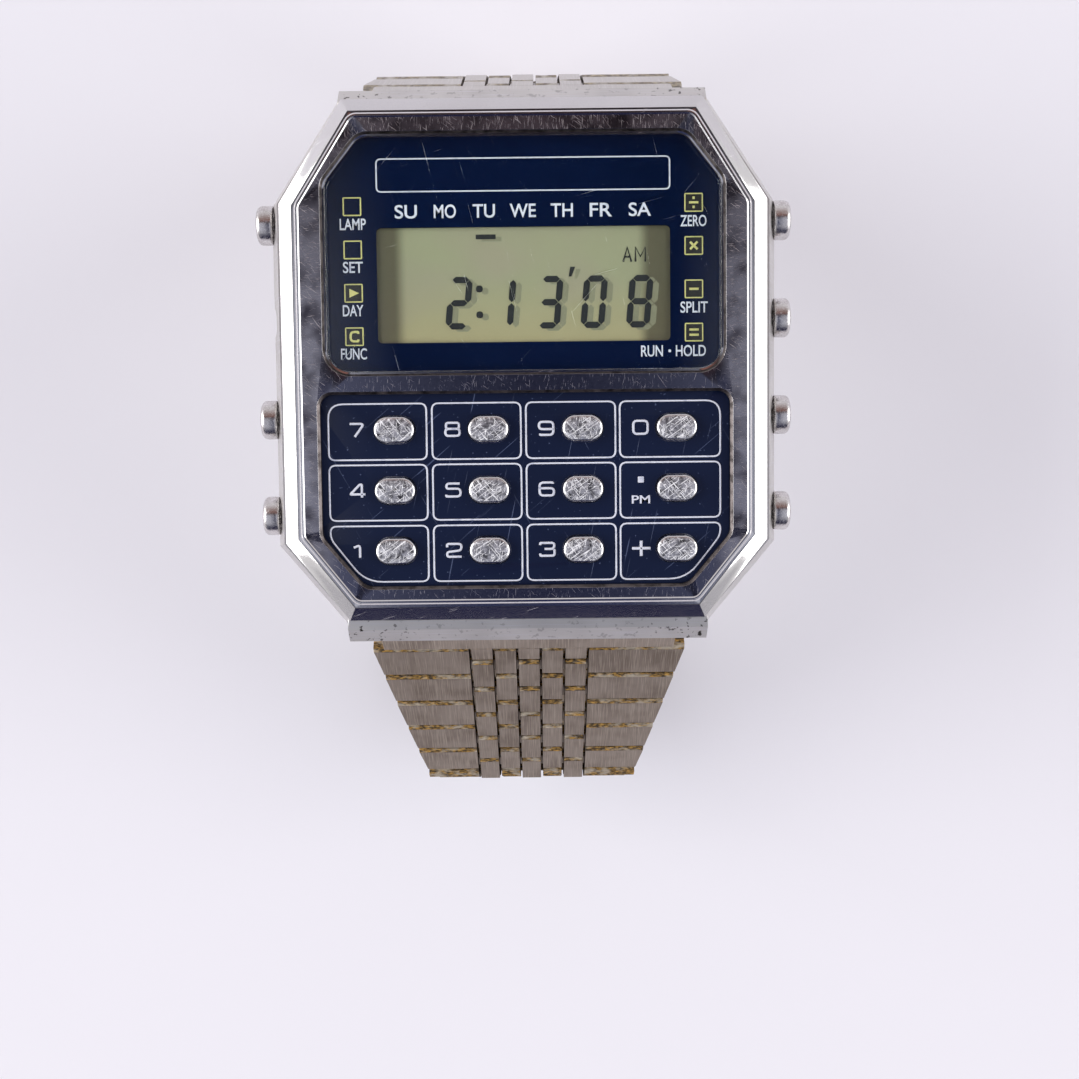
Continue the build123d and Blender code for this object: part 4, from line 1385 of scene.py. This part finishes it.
    def _key(self) -> Piece:
        """Model one key at the origin: an oval cap with a polished rim, its flange and its stem.

        Returns:
            The key's object, which is the pattern for all twelve.
        """
        height = self.cap_high - self.dome - self.cap_low
        bpy.ops.mesh.primitive_cylinder_add(vertices=48, radius=self.key_length / 2 * MM, depth=height * MM,
                                            location=(0.0, 0.0, (self.cap_low + height / 2) * MM))
        cap = settle(newest(), "cap")
        half = (self.key_width - self.key_length) / 2
        for side in (-1, 1):
            move_points(cap, (side * half, 0.0, 0.0), lambda point: point.x * side > 0.0001)
        bevel(cap, self.rim, segments=5, angle=50)
        top = self.cap_high - self.brim
        select_faces(cap, lambda centre, normal: normal.z > self.flat and centre.z > top)
        with editing(cap):
            for step in self.dome_steps:
                bpy.ops.mesh.inset(thickness=step * MM, depth=self.dome / len(self.dome_steps) * MM)
        blocks = []
        for size, top in ((self.flange, self.cap_low), (self.stem, self.cap_low - self.flange[2])):
            middle = top - size[2] / 2
            bpy.ops.mesh.primitive_cube_add(size=MM, location=(0.0, 0.0, middle * MM), scale=size)
            blocks.append(settle(newest(), "block"))
            round_edges(blocks[-1], self.block_edge)
        key = join("key_pattern", [cap, *blocks])
        shade(key)
        return key


@dataclass
class Pushers:
    """The eight round pushers in the case's sides, with sizes and distances from the middle."""

    rows: int = 4
    shift_y: float = -0.4
    pitch: float = 7.33
    height: float = 3.9
    edge: float = 0.34
    head: Triple = (18.7, 20.15, 1.475)
    sunken_edge: float = 0.2
    sunken_head: Triple = (18.05, 18.65, 1.0)
    stem_radius: float = 0.65
    stem_edge: float = 0.06
    overlap: float = 0.02
    clip: Triple = (15.35, 15.65, 1.15)
    clip_edge: float = 0.05
    swell: float = 0.12
    swell_steps: tuple[Pair, ...] = ((0.44, 0.06), (0.3, 0.04), (0.3, 0.02))

    def build(self) -> None:
        """Build each pusher with its stem and clip."""
        for side, word in ((-1, "left"), (1, "right")):
            for row in range(self.rows):
                name = f"pusher_{word}_{row + 1}"
                y = self.shift_y + ((self.rows - 1) / 2 - row) * self.pitch
                inner = min(abs(corner.x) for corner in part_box(name)) / MM
                sunken = name == "pusher_left_2"
                head = self.sunken_head if sunken else self.head
                edge = self.sunken_edge if sunken else self.edge
                parts = [self._disc(side, y, *head, edge, domed=not sunken),
                         self._disc(side, y, inner, head[0] + self.overlap, self.stem_radius,
                                    self.stem_edge),
                         self._disc(side, y, *self.clip, self.clip_edge)]
                pusher = join(f"{name}_turned", parts)
                put_on(pusher, f"{name}_body", "pusher_steel", PUSHER, instead_of=name)

    def _disc(self, side: int, y: float, start: float, end: float, radius: float, edge: float,
              domed: bool = False) -> Piece:
        """Turn a disc or rod along X, with sizes in millimetres.

        Args:
            side: -1 for the left side, 1 for the right.
            y: Its axis.
            start: Its inner end's distance from the middle.
            end: Its outer end's distance from the middle.
            radius: Its radius.
            edge: The rounding of its edges.
            domed: Whether its outer end swells a little.

        Returns:
            The mesh object.
        """
        bpy.ops.mesh.primitive_cylinder_add(vertices=64, radius=radius * MM, depth=(end - start) * MM)
        disc = newest()
        disc.rotation_euler = (0.0, math.radians(90 * side), 0.0)
        disc.location = (side * (start + end) / 2 * MM, y * MM, self.height * MM)
        settle(disc, "disc")
        if domed:
            select_faces(disc, lambda centre, normal: normal.x * side > 0.9)
            with editing(disc):
                bpy.ops.transform.translate(value=(-side * self.swell * MM, 0.0, 0.0))
                for step, rise in self.swell_steps:
                    bpy.ops.mesh.inset(thickness=step * MM, depth=rise * MM)
        bevel(disc, edge, segments=5, angle=45)
        shade(disc, angle=35)
        return disc


@dataclass
class Movement:
    """What lies inside the case. Each node keeps its CAD mesh and gets its finish."""

    finishes: dict[str, Finish] = field(default_factory=lambda: {
        "module_frame": FRAME_PLASTIC, "circuit_board": BOARD, "processor_chip": CHIP, "quartz_can": NICKEL,
        "zebra_strips": ZEBRA, "contact_mat": MAT, "battery": NICKEL, "battery_plate": SPRING,
        "back_seal": RUBBER, "lug_spring_bars": PLAIN})

    def build(self) -> None:
        """Dress each inner node."""
        for name, finish in self.finishes.items():
            dress(frame["nodes"][name], finish)


@dataclass
class Bracelet:
    """End pieces, link rows and the fold-over clasp."""

    edge: float = 0.13
    clasp_edge: float = 0.06
    flank: float = 0.3
    centre_height: float = -10.0
    # How far the normals of a row's faces turn to the side, and of its seams away from the middle.
    straight: float = 0.1
    sideways: float = 0.8
    lengthways: float = 0.5
    seam: float = 0.86
    rows: dict[str, int] = field(default_factory=lambda: {"upper": 8, "lower": 9})

    def build(self) -> None:
        """Round and dress every row, with dirt in its seams and painted shade between its columns, then the
        clasp.
        """
        for half, count in self.rows.items():
            for part in ("end_piece", *(f"link_{row}" for row in range(1, count + 1))):
                self._row(f"{half}_{part}")
        for name in frame["nodes"]:
            if name.startswith("clasp"):
                leaf = rounded_copy(name, f"{name}_steel", self.clasp_edge)
                # Its second slot is the dark steel of the painted shade.
                put_on(leaf, body_of(name), "clasp_steel", PLAIN, DARK_SIDE_SHADE, instead_of=name)

    def _row(self, node: str) -> None:
        """Copy one row and give its face, the gaps between its columns and its ends their finishes.

        Args:
            node: The row's CAD node.
        """
        row = rounded_copy(node, f"{node}_brushed", self.edge)
        # The upper half takes paler copies of the finishes, as painted light.
        clean = node.startswith("upper")
        finishes = (UPPER_LINK_LIT, UPPER_SIDE_LIT_AND_SHADED, UPPER_GRIME_LIT) if clean else (LINK, DARK_SIDE_SHADE, GRIME)
        put_on(row, body_of(node), "link_steel", *finishes, instead_of=node)
        inside = max(abs(corner[0]) for corner in row.bound_box) / MM - self.flank
        faces = [face for face in row.data.polygons if abs(face.normal.x) < self.straight]
        outward = max(faces, key=lambda face: face.area).normal.copy()
        if outward.dot(row.data.polygons[0].center / MM - Vector((0.0, 0.0, self.centre_height))) < 0:
            outward.negate()
        # Painted shade: the sides between the columns get the dark steel.
        paint_faces(row, 1, lambda centre, normal: abs(normal.x) > self.sideways and abs(centre.x) < inside)
        paint_faces(row, 2, lambda centre, normal: (abs(normal.x) < self.lengthways
                                                    and abs(normal.dot(outward)) < self.seam))


def main() -> None:
    """Build the scene piece by piece."""
    logging.basicConfig(level=logging.INFO, format="%(name)s: %(message)s")
    bpy.ops.object.select_all(action="DESELECT")
    for part in (CameraAndLight(), CaseShell(), Display(), Keyboard(), Pushers(), Movement(), Bracelet()):
        part.build()
        log.info("%s built", type(part).__name__)


if __name__ == "__main__":
    main()
